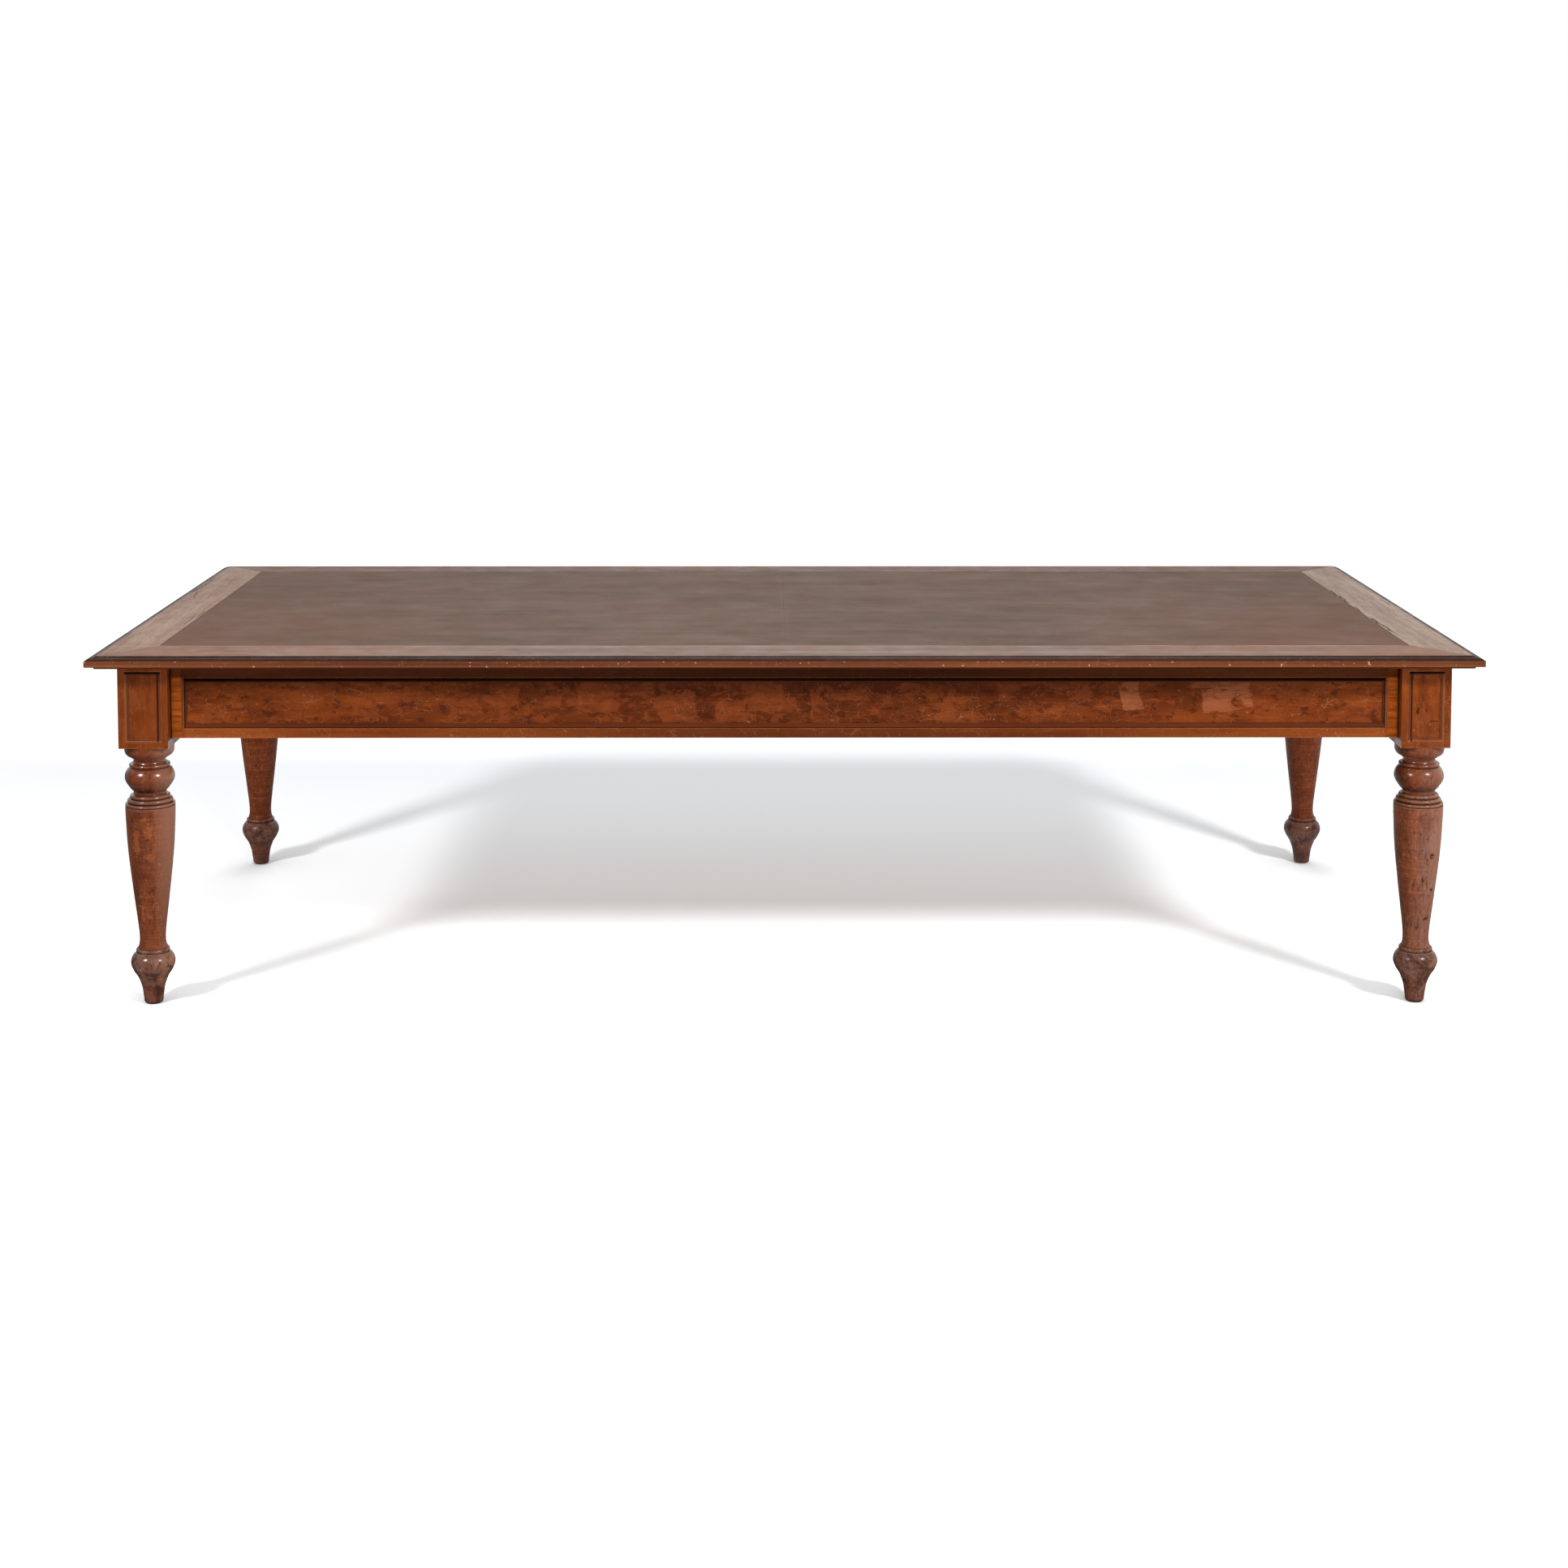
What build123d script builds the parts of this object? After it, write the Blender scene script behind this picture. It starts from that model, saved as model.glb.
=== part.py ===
# Library table: leather top in a mitred mahogany border, panelled frieze and four turned legs.
# Millimetres, +Z up, front towards -Y, origin on the floor under the middle of the top.

import os

from build123d import *

os.makedirs("parts", exist_ok=True)

# Whole table
table_height = 762.0
top_length = 2914.0
top_depth = 1380.0
overhang = 56.0  # moulded edge of the top to the outer face of a leg block
cut_overrun = 5.0  # how far a cut runs past the surface that it opens

# Border of the top, with the edge moulding worked on it
edge_thickness = 21.0
border_width = 124.0
border_front_width = 149.0
moulding_reach = 20.0  # from the edge in to the quirk
quirk_depth = 1.3
thumb_fall = 4.3
thumb_stop = 5.5  # where the thumb curve ends, in from the edge
nosing_step = 0.9
nosing_radius = 3.75
underside_radius = 2.0
corner_radius = 5.0

# Leather and the boards under it
leather_thickness = 1.5
ground_board_count = 5
tongue_thickness = 6.0
tongue_width = 16.0
tongue_play = 0.5  # a groove is this much deeper than its tongue needs

# Lining strips under the edge of the top
lining_thickness = 6.0
lining_setback = 17.0
lining_width = 140.0
lining_chamfer = 2.5

# Square block at the head of a leg
block_size = 105.0
block_height = 176.0
block_arris_radius = 1.0
panel_side_margin = 15.0
panel_end_margin = 13.0
panel_recess = 3.5
panel_strip_width = 8.0
panel_bead_width = 4.0
panel_bead_proud = 1.3

# Turned part of a leg, from the floor up to the vase
toe_radius = 20.0
toe_round = 7.0
foot_radius = 46.3
foot_rise = 83.0
foot_rise_shares = ((0.06, 0.16), (0.15, 0.35), (0.29, 0.49), (0.49, 0.64), (0.76, 0.77), (0.92, 0.88))
foot_crown_radius = 35.5
foot_crown_height = 21.5
ring_radius = 32.5
ring_height = 8.0
ring_proud = 2.8
ankle_step = 1.0
ankle_fillet_radius = 30.5
ankle_fillet_height = 1.5
waist_radius = 27.2
waist_cove_height = 18.0
vase_radius = 52.0
vase_shares = ((0.08, 0.10), (0.37, 0.31), (0.65, 0.52), (0.86, 0.71), (0.98, 0.92))

# Turned part of a leg, from the vase up to the block
shoulder_quirk = 1.0
shoulder_radius = 49.5
shoulder_height = 6.0
shoulder_proud = 2.4
upper_bead_radius = 44.0
lower_bead_radius = 38.5
bead_height = 8.5
bead_proud = 3.5
bead_step = 1.0
bulb_neck_radius = 34.0
bulb_neck_height = 4.0
bulb_radius = 52.1
bulb_rise = 33.0
bulb_rise_shares = ((0.24, 0.21), (0.49, 0.39), (0.76, 0.61), (0.94, 0.82))
bulb_crown_radius = 43.0
bulb_crown_height = 20.5
collar_radius = 40.0
collar_fillet_height = 1.8
collar_height = 7.4
collar_proud = 2.7
throat_step = 1.3
throat_rim_radius = 35.0
throat_hollow = 1.7
throat_height = 10.5
cap_fillet_radius = 38.0
cap_fillet_height = 2.0
cap_radius = 52.0
cap_ovolo_height = 15.5
cap_height = 10.0

# Frieze rails and the moulding planted round their sunk fields
rail_height = 160.5
rail_thickness = 34.0
field_stile = 22.0
field_bottom_margin = 21.0
field_top_margin = 32.5
field_recess = 5.0
field_strip_width = 9.5
field_bead_width = 4.4
field_bead_proud = 1.1
strip_quirk = 0.6  # step at the inner side of a bead
strip_edge = 0.6  # thickness left at the thin edge of a strip

# Pair of tenons at each end of a rail
tenon_thickness = 12.0
tenon_length = 40.0
tenon_shoulder = 14.0
tenon_gap = 15.0
mortise_play = 1.5

# Cross bearers, corner braces and glue blocks
bearer_thickness = 34.0
bearer_depth = 90.0
bearer_spacing = 675.0
bearer_housing = 12.0
brace_thickness = 22.0
brace_reach = 140.0
glue_block_size = 22.0
glue_block_length = 90.0

# Round headed wood screws, driven up into the boards
screw_radius = 2.4
screw_play = 0.2
screw_head_radius = 4.6
screw_head_height = 2.6
screw_point = 6.0
screw_bite = 13.0
screw_pocket_radius = 7.0
bearer_screw_wood = 32.0  # wood left over the pocket of a bearer screw
brace_screw_near = 18.0
brace_screw_far = 55.0

# Heights and faces that the pieces share
border_bottom = table_height - edge_thickness
ground_top = table_height - leather_thickness
ground_thickness = ground_top - border_bottom
tongue_bottom = border_bottom + (ground_thickness - tongue_thickness) / 2
groove_depth = tongue_width / 2 + tongue_play
frame_top = border_bottom - lining_thickness
block_bottom = frame_top - block_height
rail_bottom = frame_top - rail_height

block_face_x = top_length / 2 - overhang
block_face_y = top_depth / 2 - overhang
leg_x = block_face_x - block_size / 2
leg_y = block_face_y - block_size / 2
block_inner_x = block_face_x - block_size
block_inner_y = block_face_y - block_size
rail_face_x = leg_x + rail_thickness / 2
rail_face_y = leg_y + rail_thickness / 2
rail_back_x = rail_face_x - rail_thickness
rail_back_y = rail_face_y - rail_thickness
lining_inner_x = top_length / 2 - lining_setback - lining_width
lining_inner_y = top_depth / 2 - lining_setback - lining_width

leather_half_length = top_length / 2 - border_width
leather_front = border_front_width - top_depth / 2
leather_back = top_depth / 2 - border_width
leather_depth = leather_back - leather_front
leather_middle = (leather_back + leather_front) / 2
ground_board_width = leather_depth / ground_board_count
ground_board_places = [
    leather_front + ground_board_width * (count + 1 / 2) for count in range(ground_board_count)
]
bearer_places = (-bearer_spacing, 0, bearer_spacing)
corners = {
    "front_left": (-1, -1),
    "front_right": (1, -1),
    "back_left": (-1, 1),
    "back_right": (1, 1),
}


def save(piece, name):
    """Label a finished piece and write it."""
    piece.label = name
    export_step(piece, f"parts/{name}.step")


def upright_face(centre_x, centre_y, outward):
    """Plane of a vertical face: local x runs along it, local y is the height above the floor."""
    return Plane(origin=(centre_x, centre_y, 0), x_dir=Vector(0, 0, 1).cross(Vector(outward)), z_dir=outward)


# Each side of the frieze: the face of its rail and the clear run between two leg blocks
frieze_sides = {
    "front": (upright_face(0, -rail_face_y, (0, -1, 0)), 2 * block_inner_x),
    "back": (upright_face(0, rail_face_y, (0, 1, 0)), 2 * block_inner_x),
    "left": (upright_face(-rail_face_x, 0, (-1, 0, 0)), 2 * block_inner_y),
    "right": (upright_face(rail_face_x, 0, (1, 0, 0)), 2 * block_inner_y),
}


# Top: border


def slab_section(span):
    """Section through the whole top from edge to edge, with the thumb moulding on both edges."""
    half = span / 2
    quirk_foot = table_height - quirk_depth
    thumb_foot = quirk_foot - thumb_fall
    nosing_top = thumb_foot - nosing_step
    with BuildSketch() as section:
        with BuildLine():
            Polyline(
                (0, table_height),
                (half - moulding_reach, table_height),
                (half - moulding_reach, quirk_foot),
            )
            TangentArc((half - moulding_reach, quirk_foot), (half - thumb_stop, thumb_foot), tangent=(1, 0))
            Polyline(
                (half - thumb_stop, thumb_foot),
                (half - thumb_stop, nosing_top),
                (half - nosing_radius, nosing_top),
            )
            TangentArc((half - nosing_radius, nosing_top), (half, nosing_top - nosing_radius), tangent=(1, 0))
            Line((half, nosing_top - nosing_radius), (half, border_bottom + underside_radius))
            TangentArc(
                (half, border_bottom + underside_radius),
                (half - underside_radius, border_bottom),
                tangent=(0, -1),
            )
            Line((half - underside_radius, border_bottom), (0, border_bottom))
            mirror(about=Plane.YZ)
        make_face()
    return section.sketch


def tongue_groove(length, width, middle_y, outward):
    """Ring cut where tongues go in, round an outline and outward or inward by the groove's depth."""
    deep = 2 * groove_depth
    over = 2 * cut_overrun
    with BuildPart() as ring:
        with BuildSketch(Plane((0, middle_y, tongue_bottom))):
            if outward:
                Rectangle(length + deep, width + deep)
                Rectangle(length - over, width - over, mode=Mode.SUBTRACT)
            else:
                Rectangle(length + over, width + over)
                Rectangle(length - deep, width - deep, mode=Mode.SUBTRACT)
        extrude(amount=tongue_thickness)
    return ring.part


# The moulding is run round the four joined boards, so it turns the corners at 45 degrees
long_section = slab_section(top_length)
cross_section = slab_section(top_depth)
with BuildPart() as moulded_border:
    with BuildSketch(Plane.XZ):
        add(long_section)
    extrude(amount=top_depth / 2, both=True)
    with BuildSketch(Plane.YZ):
        add(cross_section)
    extrude(amount=top_length / 2, both=True, mode=Mode.INTERSECT)
    with BuildSketch(Plane.XY.offset(border_bottom)):
        RectangleRounded(top_length, top_depth, corner_radius)
    extrude(amount=edge_thickness, mode=Mode.INTERSECT)
    with BuildSketch(Plane((0, leather_middle, border_bottom - cut_overrun))):
        Rectangle(2 * leather_half_length, leather_depth)
    extrude(amount=edge_thickness + 2 * cut_overrun, mode=Mode.SUBTRACT)
    add(
        tongue_groove(2 * leather_half_length, leather_depth, leather_middle, outward=True),
        mode=Mode.SUBTRACT,
    )

# Joint lines run from the corners of the top to the corners of the leather, round to the right
outer_corners = [
    Vector(-top_length / 2, -top_depth / 2),
    Vector(top_length / 2, -top_depth / 2),
    Vector(top_length / 2, top_depth / 2),
    Vector(-top_length / 2, top_depth / 2),
]
inner_corners = [
    Vector(-leather_half_length, leather_front),
    Vector(leather_half_length, leather_front),
    Vector(leather_half_length, leather_back),
    Vector(-leather_half_length, leather_back),
]
for turn, side in enumerate(("front", "right", "back", "left")):
    following = (turn + 1) % 4
    with BuildPart() as border_board:
        add(moulded_border.part)
        with BuildSketch(Plane.XY.offset(border_bottom)):
            Polygon(
                outer_corners[turn],
                outer_corners[following],
                inner_corners[following],
                inner_corners[turn],
                align=None,
            )
        extrude(amount=edge_thickness, mode=Mode.INTERSECT)
    save(border_board.part, f"border_{side}")

# Top: boards under the leather


def wood_screw(length):
    """Screw pointing up, with the seat of its head at height zero."""
    with BuildPart() as screw:
        with BuildSketch(Plane.XZ):
            with BuildLine():
                Polyline((0, -screw_head_height), (0, length), (screw_radius, length - screw_point))
                Polyline((screw_radius, length - screw_point), (screw_radius, 0), (screw_head_radius, 0))
                TangentArc((0, -screw_head_height), (screw_head_radius, 0), tangent=(1, 0))
            make_face()
        revolve(axis=Axis.Z)
    return screw.part


def bearer_screw_seats():
    """Places of the bearer screws: one in the middle of each board over each bearer."""
    seat = border_bottom - bearer_screw_wood
    return [(x, y, seat) for x in bearer_places for y in ground_board_places]


def brace_screw_seats():
    """Places of the brace screws: two in each corner, in from the inner corner of the leg block."""
    seat = border_bottom - brace_thickness
    steps = ((brace_screw_near, brace_screw_far), (brace_screw_far, brace_screw_near))
    return [
        (side_x * (block_inner_x - step_x), side_y * (block_inner_y - step_y), seat)
        for side_x, side_y in corners.values()
        for step_x, step_y in steps
    ]


bearer_screw = wood_screw(bearer_screw_wood + screw_bite)
brace_screw = wood_screw(brace_thickness + screw_bite)
with BuildPart() as bearer_screws:
    with Locations(*bearer_screw_seats()):
        add(bearer_screw)
save(bearer_screws.part, "bearer_screws")
with BuildPart() as brace_screws:
    with Locations(*brace_screw_seats()):
        add(brace_screw)
save(brace_screws.part, "brace_screws")

for count, place in enumerate(ground_board_places, start=1):
    with BuildPart() as ground_board:
        with BuildSketch(Plane((0, place, border_bottom))):
            Rectangle(2 * leather_half_length, ground_board_width)
        extrude(amount=ground_thickness)
        add(
            tongue_groove(2 * leather_half_length, ground_board_width, place, outward=False),
            mode=Mode.SUBTRACT,
        )
        add(bearer_screws.part, mode=Mode.SUBTRACT)
        add(brace_screws.part, mode=Mode.SUBTRACT)
    save(ground_board.part, f"ground_board_{count}")

tongue_run = 2 * (leather_half_length - tongue_width)
with BuildPart() as board_tongues:
    with BuildSketch(Plane.XY.offset(tongue_bottom)):
        with Locations(*[(0, place + ground_board_width / 2) for place in ground_board_places[:-1]]):
            Rectangle(tongue_run, tongue_width)
    extrude(amount=tongue_thickness)
save(board_tongues.part, "board_tongues")

with BuildPart() as border_tongues:
    with BuildSketch(Plane.XY.offset(tongue_bottom)):
        with Locations((0, leather_front), (0, leather_back)):
            Rectangle(tongue_run, tongue_width)
        with Locations((-leather_half_length, leather_middle), (leather_half_length, leather_middle)):
            Rectangle(tongue_width, leather_depth)
    extrude(amount=tongue_thickness)
save(border_tongues.part, "border_tongues")

for side, middle_x in (("left", -leather_half_length / 2), ("right", leather_half_length / 2)):
    with BuildPart() as leather:
        with BuildSketch(Plane((middle_x, leather_middle, ground_top))):
            Rectangle(leather_half_length, leather_depth)
        extrude(amount=leather_thickness)
    save(leather.part, f"leather_{side}")

# Lining strips: the long ones run through, the short ones butt against them
lining_run_x = top_length - 2 * lining_setback
lining_places = {
    "front": (0, -lining_inner_y - lining_width / 2, lining_run_x, lining_width),
    "back": (0, lining_inner_y + lining_width / 2, lining_run_x, lining_width),
    "left": (-lining_inner_x - lining_width / 2, 0, lining_width, 2 * lining_inner_y),
    "right": (lining_inner_x + lining_width / 2, 0, lining_width, 2 * lining_inner_y),
}
for side, (middle_x, middle_y, size_x, size_y) in lining_places.items():
    outer_axis = Axis.Y if side in ("front", "back") else Axis.X
    outer_end = 0 if side in ("front", "left") else -1
    with BuildPart() as lining:
        with BuildSketch(Plane((middle_x, middle_y, frame_top))):
            Rectangle(size_x, size_y)
        extrude(amount=lining_thickness)
        outer_face = lining.faces().sort_by(outer_axis)[outer_end]
        chamfer(outer_face.edges().sort_by(Axis.Z)[0], length=lining_chamfer)
    save(lining.part, f"lining_{side}")


# Frieze


def rail_tenons(face, span, length):
    """The pairs of tenons at both ends of a rail; a greater length gives the mortises for them."""
    tenon_height = (rail_height - 2 * tenon_shoulder - tenon_gap) / 2
    first = rail_bottom + tenon_shoulder + tenon_height / 2
    second = first + tenon_height + tenon_gap
    reach = span / 2 + length / 2
    with BuildPart() as tenons:
        with BuildSketch(face.offset((tenon_thickness - rail_thickness) / 2)):
            with Locations((-reach, first), (-reach, second), (reach, first), (reach, second)):
                Rectangle(length, tenon_height)
        extrude(amount=-tenon_thickness)
    return tenons.part


def strip_section(strip_width, recess, bead_width, bead_proud):
    """End view of a planted strip: a bead along its outer side, then an ovolo down to the panel."""
    quirk = (bead_width + strip_quirk, recess - strip_quirk)
    with BuildSketch() as section:
        with BuildLine():
            Polyline((strip_width, strip_edge), (strip_width, 0), (0, 0), (0, recess))
            ThreePointArc((0, recess), (bead_width / 2, recess + bead_proud), (bead_width, recess))
            Polyline((bead_width, recess), (bead_width, quirk[1]), quirk)
            TangentArc(quirk, (strip_width, strip_edge), tangent=(1, 0))
        make_face()
    return section.sketch


def mitred_strips(floor, length, bottom, top, section):
    """Four strips round a sunk field: bottom, right, top and left as seen from outside."""
    half = length / 2
    local_corners = ((-half, bottom), (half, bottom), (half, top), (-half, top))
    field_corners = [floor.from_local_coords(Vector(x, y, 0)) for x, y in local_corners]
    strips = []
    for turn, start in enumerate(field_corners):
        end = field_corners[(turn + 1) % 4]
        along = (end - start).normalized()
        inward = floor.z_dir.cross(along)
        with BuildPart() as strip:
            with BuildSketch(Plane(origin=start, x_dir=inward, z_dir=along)):
                add(section)
            extrude(amount=(end - start).length)
            split(bisect_by=Plane(origin=start, z_dir=along - inward))
            split(bisect_by=Plane(origin=end, z_dir=-along - inward))
        strips.append(strip.part)
    return strips


field_bottom = rail_bottom + field_bottom_margin
field_top = frame_top - field_top_margin
field_section = strip_section(field_strip_width, field_recess, field_bead_width, field_bead_proud)
for side, (face, span) in frieze_sides.items():
    field_length = span - 2 * field_stile
    with BuildPart() as rail:
        with BuildSketch(face):
            with Locations((0, rail_bottom + rail_height / 2)):
                Rectangle(span, rail_height)
        extrude(amount=-rail_thickness)
        add(rail_tenons(face, span, tenon_length))
        with BuildSketch(face.offset(cut_overrun)):
            with Locations((0, (field_bottom + field_top) / 2)):
                Rectangle(field_length, field_top - field_bottom)
        extrude(amount=-field_recess - cut_overrun, mode=Mode.SUBTRACT)
        if side in ("front", "back"):
            housing_height = bearer_depth - lining_thickness + cut_overrun
            housing_bottom = border_bottom - bearer_depth
            with BuildSketch(face.offset(bearer_housing - rail_thickness)):
                with Locations(*[(x, housing_bottom + housing_height / 2) for x in bearer_places]):
                    Rectangle(bearer_thickness, housing_height)
            extrude(amount=-bearer_housing - cut_overrun, mode=Mode.SUBTRACT)
    save(rail.part, f"rail_{side}")

    floor = face.offset(-field_recess)
    strips = mitred_strips(floor, field_length, field_bottom, field_top, field_section)
    for strip, edge in zip(strips, ("bottom", "right", "top", "left")):
        save(strip, f"frieze_moulding_{side}_{edge}")


# Legs


def between(start, end, shares):
    """Points from start to end, with those in the way given as shares of the change in each direction."""
    (start_x, start_z), (end_x, end_z) = start, end
    way = [(start_x + (end_x - start_x) * across, start_z + (end_z - start_z) * up) for across, up in shares]
    return [start, *way, end]


def bead_arc(base_radius, proud, bottom, height):
    """Three points of a turned bead, or of a hollow where it stands proud by less than nothing."""
    return (base_radius, bottom), (base_radius + proud, bottom + height / 2), (base_radius, bottom + height)


foot_widest = toe_round + foot_rise
foot_top = foot_widest + foot_crown_height
ring_bottom = foot_top + ankle_step
ankle = ring_bottom + ring_height
waist_bottom = ankle + ankle_fillet_height
waist = waist_bottom + waist_cove_height

cap_bottom = block_bottom - cap_height
cap_fillet_top = cap_bottom - cap_ovolo_height
throat_top = cap_fillet_top - cap_fillet_height
throat_bottom = throat_top - throat_height
collar_top = throat_bottom - throat_step
collar_bottom = collar_top - collar_height
bulb_top = collar_bottom - collar_fillet_height
bulb_widest = bulb_top - bulb_crown_height
bulb_bottom = bulb_widest - bulb_rise
beads_top = bulb_bottom - bulb_neck_height
upper_bead_bottom = beads_top - bead_height
lower_bead_bottom = upper_bead_bottom - bead_height
shoulder_top = lower_bead_bottom - bead_step
shoulder_bottom = shoulder_top - shoulder_height
vase_top = shoulder_bottom - shoulder_quirk

left_leg = Vector(-leg_x, -leg_y)
left_block_faces = (
    upright_face(-leg_x, -block_face_y, (0, -1, 0)),
    upright_face(-block_face_x, -leg_y, (-1, 0, 0)),
)
panel_width = block_size - 2 * panel_side_margin
panel_bottom = block_bottom + panel_end_margin
panel_top = frame_top - panel_end_margin

with BuildPart() as leg:
    with BuildSketch(Plane(origin=left_leg, x_dir=(1, 0, 0), z_dir=(0, -1, 0))):
        with BuildLine():
            # ogee foot
            Polyline((0, block_bottom), (0, 0), (toe_radius - toe_round, 0))
            TangentArc((toe_radius - toe_round, 0), (toe_radius, toe_round), tangent=(1, 0))
            Spline(
                between((toe_radius, toe_round), (foot_radius, foot_widest), foot_rise_shares),
                tangents=((0, 1), (0, 1)),
            )
            TangentArc((foot_radius, foot_widest), (foot_crown_radius, foot_top), tangent=(0, 1))
            # ring bead over the foot
            Polyline((foot_crown_radius, foot_top), (ring_radius, foot_top), (ring_radius, ring_bottom))
            ThreePointArc(*bead_arc(ring_radius, ring_proud, ring_bottom, ring_height))
            Polyline((ring_radius, ankle), (ankle_fillet_radius, ankle), (ankle_fillet_radius, waist_bottom))
            # cove to the waist, then the long vase
            TangentArc((waist_radius, waist), (ankle_fillet_radius, waist_bottom), tangent=(0, -1))
            Spline(
                between((waist_radius, waist), (vase_radius, vase_top), vase_shares),
                tangents=((0, 1), (0, 1)),
            )
            # shoulder of the vase and two beads stepping in over it
            Polyline((vase_radius, vase_top), (shoulder_radius, vase_top), (shoulder_radius, shoulder_bottom))
            ThreePointArc(*bead_arc(shoulder_radius, shoulder_proud, shoulder_bottom, shoulder_height))
            Polyline(
                (shoulder_radius, shoulder_top),
                (upper_bead_radius, shoulder_top),
                (upper_bead_radius, lower_bead_bottom),
            )
            ThreePointArc(*bead_arc(upper_bead_radius, bead_proud, lower_bead_bottom, bead_height))
            Line((upper_bead_radius, upper_bead_bottom), (lower_bead_radius, upper_bead_bottom))
            ThreePointArc(*bead_arc(lower_bead_radius, bead_proud, upper_bead_bottom, bead_height))
            # bulb
            Polyline(
                (lower_bead_radius, beads_top),
                (bulb_neck_radius, beads_top),
                (bulb_neck_radius, bulb_bottom),
            )
            Spline(
                between((bulb_neck_radius, bulb_bottom), (bulb_radius, bulb_widest), bulb_rise_shares),
                tangents=((0, 1), (0, 1)),
            )
            TangentArc((bulb_radius, bulb_widest), (bulb_crown_radius, bulb_top), tangent=(0, 1))
            # collar, throat and cap under the block
            Polyline((bulb_crown_radius, bulb_top), (collar_radius, bulb_top), (collar_radius, collar_bottom))
            ThreePointArc(*bead_arc(collar_radius, collar_proud, collar_bottom, collar_height))
            Polyline(
                (collar_radius, collar_top),
                (throat_rim_radius, collar_top),
                (throat_rim_radius, throat_bottom),
            )
            ThreePointArc(*bead_arc(throat_rim_radius, -throat_hollow, throat_bottom, throat_height))
            Polyline(
                (throat_rim_radius, throat_top),
                (cap_fillet_radius, throat_top),
                (cap_fillet_radius, cap_fillet_top),
            )
            TangentArc((cap_radius, cap_bottom), (cap_fillet_radius, cap_fillet_top), tangent=(0, -1))
            Polyline((cap_radius, cap_bottom), (cap_radius, block_bottom), (0, block_bottom))
        make_face()
    revolve(axis=Axis(left_leg, (0, 0, 1)))
    # square block, with its arrises just eased
    with BuildSketch(Plane((-leg_x, -leg_y, block_bottom))):
        RectangleRounded(block_size, block_size, block_arris_radius)
    extrude(amount=block_height)
    for block_face in left_block_faces:
        with BuildSketch(block_face.offset(cut_overrun)):
            with Locations((0, (panel_bottom + panel_top) / 2)):
                Rectangle(panel_width, panel_top - panel_bottom)
        extrude(amount=-panel_recess - cut_overrun, mode=Mode.SUBTRACT)
    for side in ("front", "left"):
        face, span = frieze_sides[side]
        add(rail_tenons(face, span, tenon_length + mortise_play), mode=Mode.SUBTRACT)

panel_section = strip_section(panel_strip_width, panel_recess, panel_bead_width, panel_bead_proud)
left_strips = []
for block_face in left_block_faces:
    floor = block_face.offset(-panel_recess)
    left_strips += mitred_strips(floor, panel_width, panel_bottom, panel_top, panel_section)


def to_corner(piece, side_x, side_y):
    """The front left piece turned to another corner by mirroring it across the table."""
    if side_x > 0:
        piece = mirror(piece, about=Plane.YZ)
    if side_y > 0:
        piece = mirror(piece, about=Plane.XZ)
    return piece


# Under the top: corner braces seen from below the front left corner
with BuildPart() as brace:
    with BuildSketch(Plane.XY.offset(border_bottom)):
        with BuildLine():
            Polyline(
                (-block_inner_x, -block_inner_y),
                (-block_inner_x, -rail_back_y),
                (brace_reach - block_inner_x, -rail_back_y),
                (-rail_back_x, brace_reach - block_inner_y),
                (-rail_back_x, -block_inner_y),
                close=True,
            )
        make_face()
    extrude(amount=-brace_thickness)
    # rebate for the lining strips
    with BuildSketch(Plane.XY.offset(border_bottom)):
        Rectangle(top_length, top_depth)
        Rectangle(2 * lining_inner_x, 2 * lining_inner_y, mode=Mode.SUBTRACT)
    extrude(amount=-lining_thickness, mode=Mode.SUBTRACT)
    with BuildSketch(Plane.XY.offset(border_bottom)):
        with Locations(*[(x, y) for x, y, seat in brace_screw_seats()]):
            Circle(screw_radius + screw_play)
    extrude(amount=-brace_thickness, mode=Mode.SUBTRACT)

for corner, (side_x, side_y) in corners.items():
    save(to_corner(leg.part, side_x, side_y), f"leg_{corner}")
    beads = [to_corner(strip, side_x, side_y) for strip in left_strips]
    save(Compound(children=beads), f"leg_beads_{corner}")
    save(to_corner(brace.part, side_x, side_y), f"corner_brace_{corner}")

# Cross bearers, housed in the long rails and rebated for the lining strips
bearer_end = rail_back_y + bearer_housing
bearer_bottom = border_bottom - bearer_depth
for name, place in zip(("left", "middle", "right"), bearer_places):
    with BuildPart() as bearer:
        with BuildSketch(Plane.YZ.offset(place)):
            with BuildLine():
                Polyline(
                    (0, border_bottom),
                    (lining_inner_y, border_bottom),
                    (lining_inner_y, frame_top),
                    (bearer_end, frame_top),
                    (bearer_end, bearer_bottom),
                    (0, bearer_bottom),
                )
                mirror(about=Plane.YZ)
            make_face()
        extrude(amount=bearer_thickness / 2, both=True)
        with BuildSketch(Plane.XY.offset(border_bottom)):
            with Locations(*[(place, y) for y in ground_board_places]):
                Circle(screw_radius + screw_play)
        extrude(amount=-bearer_depth, mode=Mode.SUBTRACT)
        with BuildSketch(Plane.XY.offset(border_bottom - bearer_screw_wood)):
            with Locations(*[(place, y) for y in ground_board_places]):
                Circle(screw_pocket_radius)
        extrude(amount=bearer_screw_wood - bearer_depth, mode=Mode.SUBTRACT)
    save(bearer.part, f"bearer_{name}")

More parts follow.
